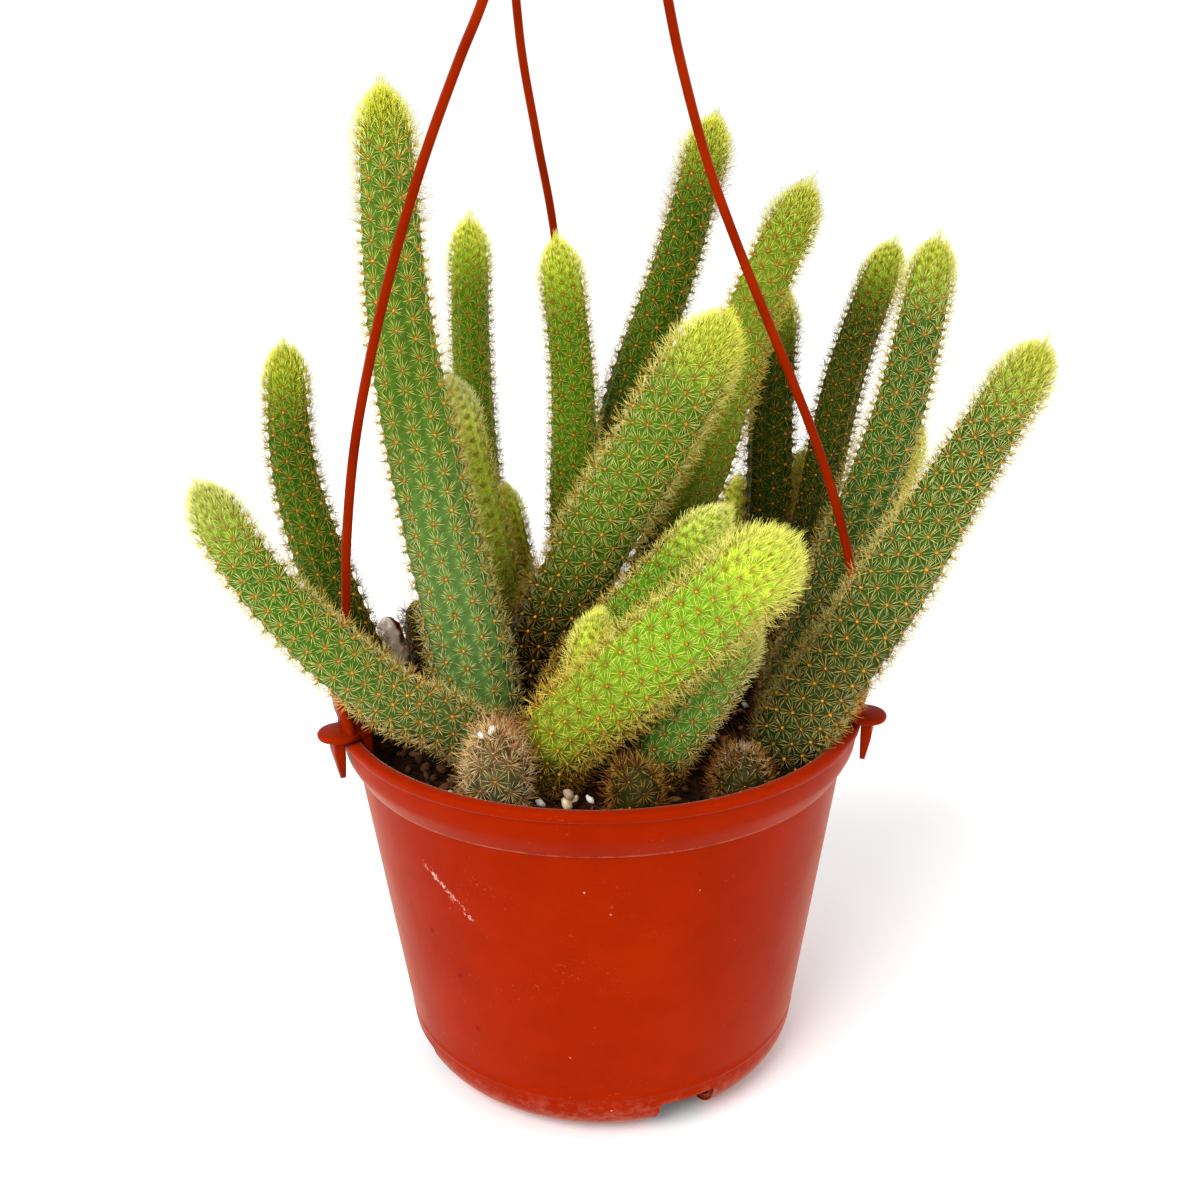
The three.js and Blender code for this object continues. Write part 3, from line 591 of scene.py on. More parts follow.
# Each kind's skin low down, half way and at the top. The palettes carry painted light: the dark brown low
# colours of the leaning, middle, back, sunlit, inner and shaded kinds are partly an old stem's browning and
# partly painted shade low in the clump, the back, inner and shaded kinds are darker for the shade they stand
# in, and the sunlit kind is a lighter copy of the back kind, painted light.
SKINS = {
    "front": [(72, 96, 40), (70, 118, 24), (150, 180, 40)],
    "tall": [(98, 134, 64), (80, 118, 24), (96, 132, 8)],
    "lime": [(104, 100, 16), (176, 200, 50), (236, 246, 100)],
    "leaning": [(12, 6, 1), (80, 122, 20), (150, 180, 30)],
    "right": [(44, 60, 20), (54, 94, 22), (136, 170, 24)],
    "under": [(76, 128, 38), (94, 138, 42), (120, 160, 34)],
    "middle": [(38, 32, 3), (80, 126, 12), (146, 184, 26)],
    "back": [(20, 12, 1), (48, 94, 5), (114, 150, 18)],
    "sunlit": [(20, 12, 1), (116, 144, 26), (114, 150, 18)],
    "inner": [(12, 7, 1), (42, 66, 7), (114, 150, 18)],
    "shaded": [(14, 8, 1), (40, 66, 6), (110, 146, 16)],
    "fresh": [(44, 36, 6), (84, 140, 14), (176, 210, 44)],
    "bright": [(118, 148, 28), (116, 172, 12), (196, 228, 40)],
    "shoot": [(96, 70, 8), (140, 146, 14), (190, 206, 40)],
    "grey_stump": [(56, 60, 30), (74, 88, 50), (90, 80, 46)],
    "dark_stump": [(24, 17, 5), (38, 50, 14), (42, 44, 14)],
    "dry": [(236, 196, 176), (255, 228, 216), (255, 238, 230)],
}
# Each kind's spines low down, half way and at the top, with the same painted light as the skins: browner and
# darker low down for age and for painted shade, darker on the back, inner and shaded kinds, lighter on the
# sunlit kind.
SPINES = {
    "front": [(240, 214, 150), (244, 240, 152), (228, 228, 124)],
    "tall": [(255, 246, 176), (252, 244, 140), (240, 240, 60)],
    "lime": [(236, 214, 80), (255, 255, 150), (255, 255, 180)],
    "leaning": [(120, 64, 16), (250, 240, 150), (252, 252, 96)],
    "right": [(196, 176, 112), (238, 232, 156), (226, 226, 82)],
    "under": [(250, 230, 150), (255, 248, 180), (250, 244, 140)],
    "middle": [(146, 94, 26), (220, 212, 84), (252, 252, 96)],
    "back": [(100, 56, 12), (178, 164, 54), (230, 230, 74)],
    "sunlit": [(100, 56, 12), (240, 228, 110), (216, 216, 74)],
    "inner": [(74, 38, 8), (146, 126, 40), (222, 222, 74)],
    "shaded": [(90, 50, 10), (160, 140, 44), (244, 244, 80)],
    "fresh": [(180, 130, 40), (250, 240, 140), (255, 255, 140)],
    "bright": [(255, 222, 96), (255, 250, 140), (255, 255, 120)],
    "shoot": [(160, 104, 24), (240, 226, 70), (252, 252, 106)],
    "grey_stump": [(228, 196, 140), (248, 234, 190), (244, 214, 160)],
    "dark_stump": [(124, 78, 24), (150, 98, 36), (176, 122, 56)],
    "dry": [(210, 180, 160), (226, 200, 180), (234, 210, 190)],
}
# The felt of an areole, by kind or else for all, and near a growing tip.
FELTS = {"grey_stump": (206, 116, 40), "dark_stump": (150, 80, 26), "dry": (150, 60, 50)}
FELT = (236, 176, 56)
YOUNG_FELT = (230, 196, 40)
SPINE_TIP = (255, 252, 120)
# The central spines are a deeper gold than the radial ones by these factors.
GOLDEN = (0.98, 0.76, 0.5)
# How long each kind's spines are, by kind or else for all.
REACHES = {"tall": 0.76, "bright": 1.05, "front": 0.95, "grey_stump": 1.25, "dark_stump": 1.25, "dry": 1.25}
REACH = 0.9
# The dark red blotch of the dry stub, and a factor of painted light that lifts its skin colour above its own,
# to light it in the shade where it stands.
DRY_BLOTCH = (110, 10, 16)
DRY_PAINTED_LIGHT = 1.3
# How much darker and browner the skin and the spines are where a stem leaves the soil, and how far up that
# reaches: partly the browned base of an old stem, partly painted shade where the stem meets the soil.
FOOT_BROWNING_AND_SHADE_SKIN = (0.2, 0.1, 0.1)
FOOT_BROWNING_AND_SHADE_SPINE = (0.3, 0.17, 0.12)
FOOT_DARK_REACH = 14.0
FOOT_DARK_REACHES = {"stem_front_bright": 21.0, "stem_front_under": 17.0, "stem_left_low": 16.0}
# Tufts of dead wool on the cut tops: number of fibres, their length, which way they lie, and their colour.
WOOL = {
    "stump_front_left": [(480, 7.0, (-0.1, 0.2, 0.1), (252, 212, 154)),
                         (300, 9.5, (0.8, 0.6, 0.5), (196, 122, 78))],
    "stump_front_centre": [(110, 8.0, (-1.6, 0, 0), (120, 70, 26)), (20, 4.0, (0.3, 0, 0), (140, 90, 38))],
    "stump_front_right": [(170, 4.0, (0.3, 0.3, 0.3), (240, 206, 178)),
                          (120, 9.0, (-1.4, 0.5, 0.2), (128, 78, 32))],
}
# Perlite caught in the wool: centre and radius of each grain.
CAUGHT_GRAINS = {"stump_front_left": [(-30.4, -55.0, 123.4, 1.3), (-28.0, -54.6, 124.5, 1.4)]}
CAUGHT_WHITE = (246, 242, 234)


class Stem:
    """One stem: a centre line, a radius along it, and ribs whose tubercles carry the areoles."""

    def __init__(self, name):
        foot, through, self.radii, self.ribs, self.kind = STEMS[name]
        self.path = Path(rounded_line([(*foot, SOIL_EDGE - 1), *through]))
        self.length = self.path.length
        self.foot_dark_reach = FOOT_DARK_REACHES.get(name, FOOT_DARK_REACH)
        self.cap = (BLUNT_TIP_LENGTH if name in BLUNT else TIP_LENGTH) * self.radii[2]
        self.power = BLUNT_TIP_POWER if name in BLUNT else TIP_POWER
        self.stump = self.kind in STUMPS
        spacing = THIN_SPACING + SPACING_PER_RADIUS * self.radii[1] + STUMP_SPACING * self.stump
        self.steps = np.linspace(0, self.length, 400)
        spacing = spacing + (TIP_SPACING - spacing) * self.towards_tip(TUFT, 3, self.steps)
        self.count_at = np.concatenate([[0], np.cumsum(np.diff(self.steps) / spacing[1:])])

    def below_tip(self, far, near, s):
        """0 further than far below the top, 1 nearer to it than near, and a smooth step between."""
        return smooth_step(self.length - far, self.length - near, s)

    def towards_tip(self, far, near, s):
        """The same on a growing stem, and 0 all along a stump."""
        return (not self.stump) * self.below_tip(far, near, s)

    def radius(self, s):
        """The crest radius: three radii joined by straight lines, slimmer at the foot, and closed at the top
        by (1 - (1 - t)^2) to a power, t running from 1 to 0 over the cap. At 0.5 that is a quarter ellipse,
        and above it more pointed."""
        girth = np.interp(np.clip(s / self.length, 0, 1), [0, 0.5, 1], self.radii)
        foot = FOOT_SHARE + (1 - FOOT_SHARE) * np.clip(s / FOOT_LENGTH, 0, 1)
        tip = np.clip((self.length - s) / self.cap, 0, 1)
        return girth * foot * (1 - (1 - tip) ** 2) ** self.power

    def rows(self, s):
        """How many rows of areoles lie below a length: a rib's areoles sit at the whole or half numbers."""
        return np.interp(s, self.steps, self.count_at)

    def swell(self, s, angle):
        """1 on each areole's tubercle and 0 half way between, alternating from rib to rib:
        0.5 + 0.5 cos(2 pi row) cos(ribs angle / 2)."""
        return 0.5 + 0.5 * np.cos(TURN * self.rows(s)) * np.cos(self.ribs * angle / 2)

    def skin_radius(self, s, angle):
        """The crest radius, less a cosine valley between ribs, plus tubercles; a dry stem has wrinkles."""
        crest = self.radius(s)
        valley = RIB_DEPTH * crest * (0.5 - 0.5 * np.cos(self.ribs * angle))
        fade = np.clip(crest / self.radii[2], 0, 1)
        wrinkle = 0.3 * np.sin(2.6 * s + np.sin(3 * angle)) if self.kind == "dry" else 0.0
        return crest - valley + fade * (TUBERCLE * (self.swell(s, angle) - 0.6) + wrinkle)

    def outward(self, s, angle):
        """Tangents, and directions square to the centre line at angles round it."""
        tangent, side, up = self.path.frames(s)
        return tangent, np.cos(angle)[..., None] * side + np.sin(angle)[..., None] * up

    def surface(self, s, angle):
        """Points of the skin at lengths s and angles round the centre line."""
        _, across = self.outward(s, angle)
        return self.path.place(s) + self.skin_radius(s, angle)[..., None] * across

    def normals(self, s, angle):
        """Outward directions, across the stem and tipped towards its top where the radius shrinks, and
        tangents."""
        tangent, across = self.outward(s, angle)
        slope = (self.radius(s - 0.2) - self.radius(s)) / 0.2
        return unit(across + slope[..., None] * tangent), tangent

    def tint(self, palette, s, top, foot_darkening):
        """A palette's three colours along the stem: low down, half way, and over the last top millimetres.
        The lowest part is darkened by the foot factors, partly a browned base and partly painted shade,
        except on a stump."""
        low, middle, high = (linear(*c) for c in palette)
        colour = blend(low, middle, smooth_step(0.2, 0.66, s / self.length))
        colour = blend(colour, high, self.below_tip(top + 6, 4, s))
        above_foot = np.ones_like(s) if self.stump else smooth_step(self.foot_dark_reach - 9, self.foot_dark_reach, s)
        return colour * blend(np.array(foot_darkening), np.ones(3), above_foot)


def stem_skin(stem):
    """The skin as a grid of rings and angles, a root below the soil, and a single point at the top."""
    body = np.linspace(0, stem.length - stem.cap, int((stem.length - stem.cap) / RING_STEP) + 2)
    rise = np.linspace(0, np.pi / 2, TIP_RINGS + 2)[1:-1]
    s = np.concatenate([body, stem.length - stem.cap * (1 - np.sin(rise))])
    angle = angles_round(4 * stem.ribs)
    ring, turn = np.meshgrid(s, angle, indexing="ij")
    skin = stem.surface(ring, turn)
    bottom = SOIL_EDGE - ROOT_DEPTH
    root = skin[0] * [1, 1, 0] + [0, 0, bottom]
    foot, top = stem.path.place(np.array([0.0, stem.length]))
    points = np.concatenate([root, skin.reshape(-1, 3), [[foot[0], foot[1], bottom], top]])
    along = np.concatenate([0 * angle, ring.ravel(), [0, stem.length]])
    around = np.concatenate([angle, turn.ravel(), [0, 0]])
    # Painted shade: the skin's colour is darkened in the creases between ribs and between tubercles.
    crest = 0.5 + 0.5 * np.cos(stem.ribs * around)
    shade = 0.54 + 0.34 * crest + 0.42 * stem.swell(along, around)
    tint = stem.tint(SKINS[stem.kind], along, 18, FOOT_BROWNING_AND_SHADE_SKIN)
    # A dry stub: its skin colour lifted by painted light, and a dark red blotch on one side near its top.
    if stem.kind == "dry":
        one_side = smooth_step(0.5, 0.9, np.cos(2 * around + 0.6))
        tint = blend(DRY_PAINTED_LIGHT * tint, linear(*DRY_BLOTCH), stem.below_tip(11, 7, along) * one_side)
    return points, closed_tube(len(s) + 1, len(angle)), tint * shade[:, None]


def areoles(stem):
    """Length and angle of each areole: on even ribs at whole rows and on odd ribs at half rows."""
    rows = np.arange(0, int(stem.count_at[-1]) + 1)
    row, rib = np.meshgrid(rows, np.arange(stem.ribs), indexing="ij")
    row = (row + 0.5 * (rib % 2)).ravel()
    inside = (row > 0.05) & (row < stem.count_at[-1] - 0.15)
    s = np.interp(row[inside], stem.count_at, stem.steps)
    return s, TURN * rib.ravel()[inside] / stem.ribs


def needles(roots, tips, widths, normal):
    """Slim closed spines, each a tetrahedron: an edge as long as the given width at the root, and a shorter
    one across it at the tip, so that the spine stays a fine line to its end from any side."""
    axis = unit(tips - roots)
    side = unit(np.cross(axis, normal + [1e-3, 2e-3, 1e-3]))
    low = 0.5 * widths[:, None] * side
    high = 0.5 * SPINE_TIP_WIDTH / SPINE_WIDTH * widths[:, None] * np.cross(axis, side)
    points = np.stack([roots + low, roots - low, tips + high, tips - high], axis=1).reshape(-1, 3)
    faces = np.array([[0, 1, 2], [0, 3, 1], [0, 2, 3], [1, 3, 2]])
    faces = faces[None] + 4 * np.arange(len(roots))[:, None, None]
    return points, faces.reshape(-1, 3)


def needle_tint(root, tip):
    """The colours of the needles' four points, two at the root and two at the tip."""
    return np.stack([root, root, tip, tip], 1).reshape(-1, 3)


def buttons(centres, normals, tangents, radius):
    """Low six-sided cushions of felt: a ring just under the skin, one point above it, and a flat floor."""
    side = np.cross(normals, tangents)
    turn = angles_round(6)
    ring = (centres[:, None] - 0.1 * normals[:, None]
            + radius[:, None, None] * (np.cos(turn)[None, :, None] * tangents[:, None]
                                       + np.sin(turn)[None, :, None] * side[:, None]))
    top = centres + (AREOLE_HEIGHT / AREOLE_RADIUS) * radius[:, None] * normals
    points = np.concatenate([ring, top[:, None]], axis=1).reshape(-1, 3)
    floor = np.array([[0, 2, 1], [0, 3, 2], [0, 4, 3], [0, 5, 4]])
    faces = np.concatenate([fan_faces(np.arange(6), 6), floor])
    faces = faces[None] + 7 * np.arange(len(centres))[:, None, None]
    return points, faces.reshape(-1, 3)


def stem_spines(stem, random):
    """Spines of every areole: radial ones in a flat star and central ones standing out. Towards the top they
    lean upwards and close into a pointed tuft."""
    s, angle = areoles(stem)
    if stem.kind == "dry":
        s, angle = s[::5], angle[::5]
    per = RADIAL_SPINES + CENTRAL_SPINES
    s, angle = np.repeat(s, per), np.repeat(angle, per)
    near_top = stem.towards_tip(TUFT, 4, s)
    at_top = stem.towards_tip(10, 1, s)
    number = np.tile(np.arange(per), len(s) // per)
    central = number >= RADIAL_SPINES
    count = np.where(central, CENTRAL_SPINES, RADIAL_SPINES)
    around = TURN * (number + 0.8 * random.random(len(s))) / count
    least, most = np.where(central, np.array(CENTRAL_RISE)[:, None], np.array(RADIAL_RISE)[:, None])
    rise = np.radians(least + (most - least) * random.random(len(s)))
    size = np.where(central, CENTRAL_LENGTH, RADIAL_LENGTH) * (0.76 + 0.34 * random.random(len(s)))
    size = size * (0.86 + 0.12 * (1 + np.cos(around))) * (1 + 0.1 * near_top - 0.35 * at_top)
    size = size * np.clip(stem.radii[1] / 8.5, 0.8, 1.12) * REACHES.get(stem.kind, REACH)
    normal, tangent = stem.normals(s, angle)
    along = unit(tangent - (tangent * normal).sum(-1)[:, None] * normal + 1e-6)
    side = np.cross(normal, along)
    flat = np.cos(around)[:, None] * along + np.sin(around)[:, None] * side
    aim = np.cos(rise)[:, None] * flat + np.sin(rise)[:, None] * normal
    lean = (0.12 if stem.stump else 0.28) + 0.5 * stem.towards_tip(LEAN, 4, s) + 0.5 * at_top
    aim = unit(aim + tangent * lean[:, None])
    centre = stem.surface(s, angle)
    root = centre + AREOLE_RADIUS * (np.where(central, 0.35, 0.75)[:, None] * flat
                                     + np.where(central, 0.7, 0.2)[:, None] * normal)
    tip = centre + size[:, None] * aim
    tip[:, 2] = np.maximum(tip[:, 2], SOIL_EDGE)
    points, faces = needles(root, tip, SPINE_WIDTH * (0.8 + 0.4 * random.random(len(s))), normal)
    shade = ((0.7 + 0.5 * random.random(len(s))) * (1 + 0.06 * near_top))[:, None]
    colour = stem.tint(SPINES[stem.kind], s, 14, FOOT_BROWNING_AND_SHADE_SPINE) * shade
    colour = colour * blend(np.ones(3), np.array(GOLDEN), central * (1 - near_top))
    golden = blend(colour, linear(*FELTS.get(stem.kind, FELT)), np.where(central, 0.4, 0.2))
    golden = blend(golden, colour, near_top)
    pale = blend(colour, linear(*SPINE_TIP), 0.25 * smooth_step(6, 20, s))
    return points, faces, needle_tint(golden, pale)


def stem_crown(stem, random):
    """The brush at the growing tip: bristles on a golden-angle spiral over the dome, longest and straightest
    in the middle, so that they close into a point."""
    k = np.arange(CROWN_BRISTLES)
    share = np.sqrt((k + 0.5) / CROWN_BRISTLES)
    s = stem.length - 0.05 - CROWN_SHARE * stem.cap * share**2
    angle = k * GOLDEN_ANGLE
    normal, tangent = stem.normals(s, angle)
    outward = unit(normal - (normal * tangent).sum(-1)[:, None] * tangent)
    jitter = 0.09 * random.standard_normal((len(k), 3))
    aim = unit(tangent + (0.45 * share - 0.3)[:, None] * outward + jitter)
    size = (CROWN_LENGTH + (CROWN_EDGE_LENGTH - CROWN_LENGTH) * share) * (0.8 + 0.3 * random.random(len(k)))
    size = size * np.clip(stem.radii[2] / 6, 0.72, 1.1)
    root = stem.surface(s, angle)
    points, faces = needles(root, root + size[:, None] * aim, np.full(len(k), 0.8 * SPINE_WIDTH), outward)
    colour = linear(*SPINES[stem.kind][2]) * (0.78 + 0.36 * random.random(len(k)))[:, None]
    return points, faces, needle_tint(colour, blend(colour, linear(*SPINE_TIP), 0.35))


def stump_wool(stem, random, count, reach, lie, colour):
    """Dead wool on a cut top: fibres that leave the dome in all directions and lie over its edge."""
    s = stem.length - 0.8 * stem.cap * random.random(count) ** 1.6
    angle = TURN * random.random(count)
    normal, _ = stem.normals(s, angle)
    aim = unit(0.7 * normal + 0.8 * random.standard_normal((count, 3)) + lie)
    size = reach * (0.4 + 0.6 * random.random(count))
    root = stem.surface(s, angle)
    tip = root + size[:, None] * aim
    tip[:, 2] = np.maximum(tip[:, 2], SOIL_EDGE + 2)
    points, faces = needles(root, tip, SPINE_WIDTH * (0.8 + 0.5 * random.random(count)), normal)
    tint = linear(*colour) * (0.55 + 0.7 * random.random(count))[:, None]
    return points, faces, needle_tint(0.6 * tint, tint)


def stem_felt(stem, random):
    """The felt cushion of each areole, yellower and smaller near the top."""
    s, angle = areoles(stem)
    normal, tangent = stem.normals(s, angle)
    near_top = stem.below_tip(16, 3, s)
    radius = AREOLE_RADIUS * (0.85 + 0.3 * random.random(len(s))) * np.clip(stem.radii[1] / 7.5, 0.8, 1.05)
    points, faces = buttons(stem.surface(s, angle), normal, tangent, radius * (1 - 0.5 * near_top))
    tint = blend(linear(*FELTS.get(stem.kind, FELT)), linear(*YOUNG_FELT), 0.85 * near_top)
    tint = tint * (0.8 + 0.4 * random.random(len(s)))[:, None]
    return points, faces, np.repeat(tint, 7, axis=0)


def caught_grains(grains, random):
    """White grains at the given centres, with the given radii."""
    grains = np.array(grains)
    points, faces = lumps(grains[:, :3], grains[:, 3], random, 0.85)
    return points, faces, np.tile(linear(*CAUGHT_WHITE), (len(points), 1))


def grow_stems(skin, spine, felt, grain):
    """Every stem as one piece: its skin, spines, felt, and a crown of bristles or the wool of a cut top."""
    for number, name in enumerate(STEMS):
        stem = Stem(name)
        random = np.random.default_rng(100 + number)
        parts = [stem_skin(stem), stem_spines(stem, random), stem_felt(stem, random)]
        if not stem.stump:
            parts.append(stem_crown(stem, random))
        if name in WOOL:
            parts.append(joined([stump_wool(stem, random, *tuft) for tuft in WOOL[name]])[:3])
        if name in CAUGHT_GRAINS:
            parts.append(caught_grains(CAUGHT_GRAINS[name], random))
        points, faces, tint, kinds = joined(parts)
        make_piece(name + "_grown", points, faces, [skin, spine, felt, spine, grain], name, tint, kinds)


# Pot

def arc(centre, radius, start, end):
    """Points of a circle's arc in CORNER_STEPS steps between two angles in degrees."""
    angle = np.radians(np.linspace(start, end, CORNER_STEPS + 1))
    return np.stack([centre[0] + radius * np.cos(angle), centre[1] + radius * np.sin(angle)], -1)


CORNER_CENTRE = (WALL_FOOT_RADIUS - CORNER_RADIUS, CORNER_RADIUS)
# How many columns each column of the pot is from the nearest drain notch's middle.
QUARTER = POT_COLUMNS // NOTCHES
FROM_NOTCH = (np.arange(POT_COLUMNS) + QUARTER // 2) % QUARTER - QUARTER // 2
OVER_NOTCH = np.abs(FROM_NOTCH) <= NOTCH_COLUMNS


def pot_profile():
    """Pairs of outside and inside points, from the middle of the underside up to the lip: flat bottom,
    rounded corner, straight wall with a faint mould line, small step, flared band and lip."""
    plate = np.array([8.0, 24.0, NOTCH_BACK])
    outside = [np.stack([plate, np.zeros(3)], -1), arc(CORNER_CENTRE, CORNER_RADIUS, -90, 0)]
    inside = [np.stack([plate, np.full(3, WALL)], -1), arc(CORNER_CENTRE, CORNER_RADIUS - WALL, -90, 0)]
    wall_top = BAND_FOOT - 0.6
    height = np.concatenate([[SEAM_HEIGHT - 0.3, SEAM_HEIGHT, SEAM_HEIGHT + 0.3],
                             np.linspace(18, BAND_FOOT - 1.2, 16), [wall_top]])
    lean = (WALL_TOP_RADIUS - WALL_FOOT_RADIUS) / (wall_top - CORNER_RADIUS)
    radius = WALL_FOOT_RADIUS + lean * (height - CORNER_RADIUS)
    outside.append(np.stack([radius + np.where(height == SEAM_HEIGHT, SEAM_DEPTH, 0), height], -1))
    inside.append(np.stack([radius - WALL, height], -1))
    flange = POT_HEIGHT - FLANGE
    inner = RIM_RADIUS - LIP_WIDTH
    # Outside radius, height and inside radius.
    band = np.array([
        (WALL_TOP_RADIUS + 0.12, BAND_FOOT - 0.42, WALL_TOP_RADIUS - WALL),
        (BAND_FOOT_RADIUS - 0.2, BAND_FOOT - 0.25, WALL_TOP_RADIUS - WALL),
        (BAND_FOOT_RADIUS, BAND_FOOT, WALL_TOP_RADIUS - WALL + 0.1),
        (BAND_FOOT_RADIUS + 0.5, BAND_FOOT + 0.9, BAND_FOOT_RADIUS - WALL + 0.5),
        (SHOULDER_RADIUS - 0.9, SHOULDER - 1.7, inner - 0.7),
        (SHOULDER_RADIUS - 0.1, SHOULDER, inner - 0.2),
        (SHOULDER_RADIUS + 0.1, SHOULDER + 0.6, inner - 0.1),
        (BAND_TOP_RADIUS - 0.3, SHOULDER + 2.6, inner),
        (BAND_TOP_RADIUS - 0.04, flange - 1.2, inner),
        (BAND_TOP_RADIUS, flange - 0.5, inner),
        (BAND_TOP_RADIUS + 0.15, flange - 0.2, inner),
        (RIM_RADIUS - 0.25, flange, inner),
        (RIM_RADIUS, flange + 0.3, inner),
        (RIM_RADIUS, POT_HEIGHT - 0.7, inner + 0.1),
        (RIM_RADIUS - 0.15, POT_HEIGHT - 0.25, inner + 0.3),
        (RIM_RADIUS - 0.6, POT_HEIGHT, inner + 0.9),
    ])
    return np.concatenate([*outside, band[:, [0, 1]]]), np.concatenate([*inside, band[:, [2, 1]]])


def columns_round(radius, margin):
    """Angles of the pot's columns at each radius. NOTCH_COLUMNS of them on each side of a notch's middle are
    spread so that the notch is as wide at every radius, and the rest share what is left."""
    edge = np.arcsin((NOTCH_WIDTH / 2 + margin) / np.maximum(radius, NOTCH_BACK))[:, None]
    beyond = (np.abs(FROM_NOTCH) - NOTCH_COLUMNS) / (QUARTER / 2 - NOTCH_COLUMNS)
    inside = np.abs(FROM_NOTCH) / NOTCH_COLUMNS * edge
    turn = np.where(beyond > 0, edge + beyond * (np.pi / NOTCHES - edge), inside) * np.sign(FROM_NOTCH)
    middle = (np.arange(POT_COLUMNS) - FROM_NOTCH) * TURN / POT_COLUMNS
    return turn + middle + math.radians(FIRST_NOTCH)


def turned(profile, margin=0.0):
    """A grid of points: each (radius, height) of the profile carried round the pot's columns."""
    return round_z(profile[:, 0, None], columns_round(profile[:, 0], margin), profile[:, 1, None])


def quads(p, q, r, t, keep=...):
    """Two triangles for each four-sided cell of points p, q, r, t: the kept ones, or else all."""
    return np.concatenate([np.stack([p, q, r], -1)[keep], np.stack([p, r, t], -1)[keep]])


def pot_shell():
    """The profile turned round Z. Cells inside a drain notch are left out of both skins, and the rims of the
    hole are joined from the outside skin to the inside one, as the two skins are at the lip."""
    outside, inside = pot_profile()
    rows, columns = len(outside), POT_COLUMNS
    points = np.concatenate([turned(outside).reshape(-1, 3), turned(inside).reshape(-1, 3),
                             [[0, 0, 0], [0, 0, WALL]]])
    size = rows * columns
    low = 2
    high = low + 1 + int(np.argmin(np.abs(outside[low + 1:, 1] - NOTCH_HEIGHT)))
    cut = np.zeros((rows - 1, columns), bool)
    cut[low:high] = OVER_NOTCH & np.roll(OVER_NOTCH, -1)
    row, column = np.meshgrid(np.arange(rows - 1), np.arange(columns), indexing="ij")
    a, b = row * columns + column, row * columns + (column + 1) % columns
    c, d = b + columns, a + columns
    none = np.zeros((1, columns), bool)
    left = cut & ~np.roll(cut, 1, axis=1)
    right = cut & ~np.roll(cut, -1, axis=1)
    below = cut & ~np.vstack([none, cut[:-1]])
    above = cut & ~np.vstack([cut[1:], none])
    last = size - columns + np.arange(columns)
    after = np.roll(last, -1)
    return points, np.concatenate([
        quads(a, b, c, d, ~cut),
        quads(a + size, d + size, c + size, b + size, ~cut),
        quads(a, a + size, d + size, d, left)[:, ::-1],
        quads(b, c, c + size, b + size, right)[:, ::-1],
        quads(a, b, b + size, a + size, below)[:, ::-1],
        quads(d, d + size, c + size, c, above)[:, ::-1],
        quads(last, after, after + size, last + size),
        fan_faces(np.arange(columns), 2 * size, outwards=False),
        fan_faces(size + np.arange(columns), 2 * size + 1),
    ])


# Soil

def bed_height(x, y):
    """The soil's height: it falls from the middle to the edge with the square of the radius."""
    return SOIL_EDGE + (SOIL_MIDDLE - SOIL_EDGE) * (1 - (x**2 + y**2) / SOIL_RADIUS**2)


def wave(across, along, size, phases):
    """A sine across, its phase swung by another sine along."""
    return np.sin(TURN * across / size + phases[0] + 1.7 * np.sin(TURN * along / size + phases[1]))


def soil_bed(random):
    """A closed round body: a flat underside raised over the drain notches, a rounded corner, the side along
    the pot's wall, and a top that swells to the middle and is broken up by waves and random grains."""
    base = WALL + GAP
    wall = base + 0.4
    side = np.concatenate([
        [(10, base), (25, base), (NOTCH_BACK - GAP - 1.2, base), (NOTCH_BACK - GAP, base)],
        arc(CORNER_CENTRE, CORNER_RADIUS - base, -90, 0),
        [(WALL_TOP_RADIUS - wall, BAND_FOOT - 3), (BAND_FOOT_RADIUS - wall, BAND_FOOT)],
    ])
    lower = turned(side, GAP)
    raised = OVER_NOTCH & (side[:, 0, None] >= NOTCH_BACK - GAP)
    lower[..., 2] = np.where(raised, np.maximum(lower[..., 2], NOTCH_HEIGHT + GAP), lower[..., 2])
    rings = np.linspace(1, 0.02, SOIL_RINGS)
    top = turned(np.stack([SOIL_RADIUS * rings, 0 * rings], -1))
    x, y = top[..., 0], top[..., 1]
    rough = 0.6 * (random.random(x.shape) - 0.5)
    for size, depth in SOIL_WAVES:
        phases = random.random(4) * 6.28
        rough += depth * (wave(x, y, size, phases[:2]) + wave(y, x, size, phases[2:]))
    top[..., 2] = bed_height(x, y) + 0.6 * rough * (1 - rings[:, None] ** 8)
    rows = np.concatenate([lower, top])
    points = np.concatenate([rows.reshape(-1, 3), [[0, 0, base], [0, 0, SOIL_MIDDLE]]])
    return points, closed_tube(len(rows), POT_COLUMNS)


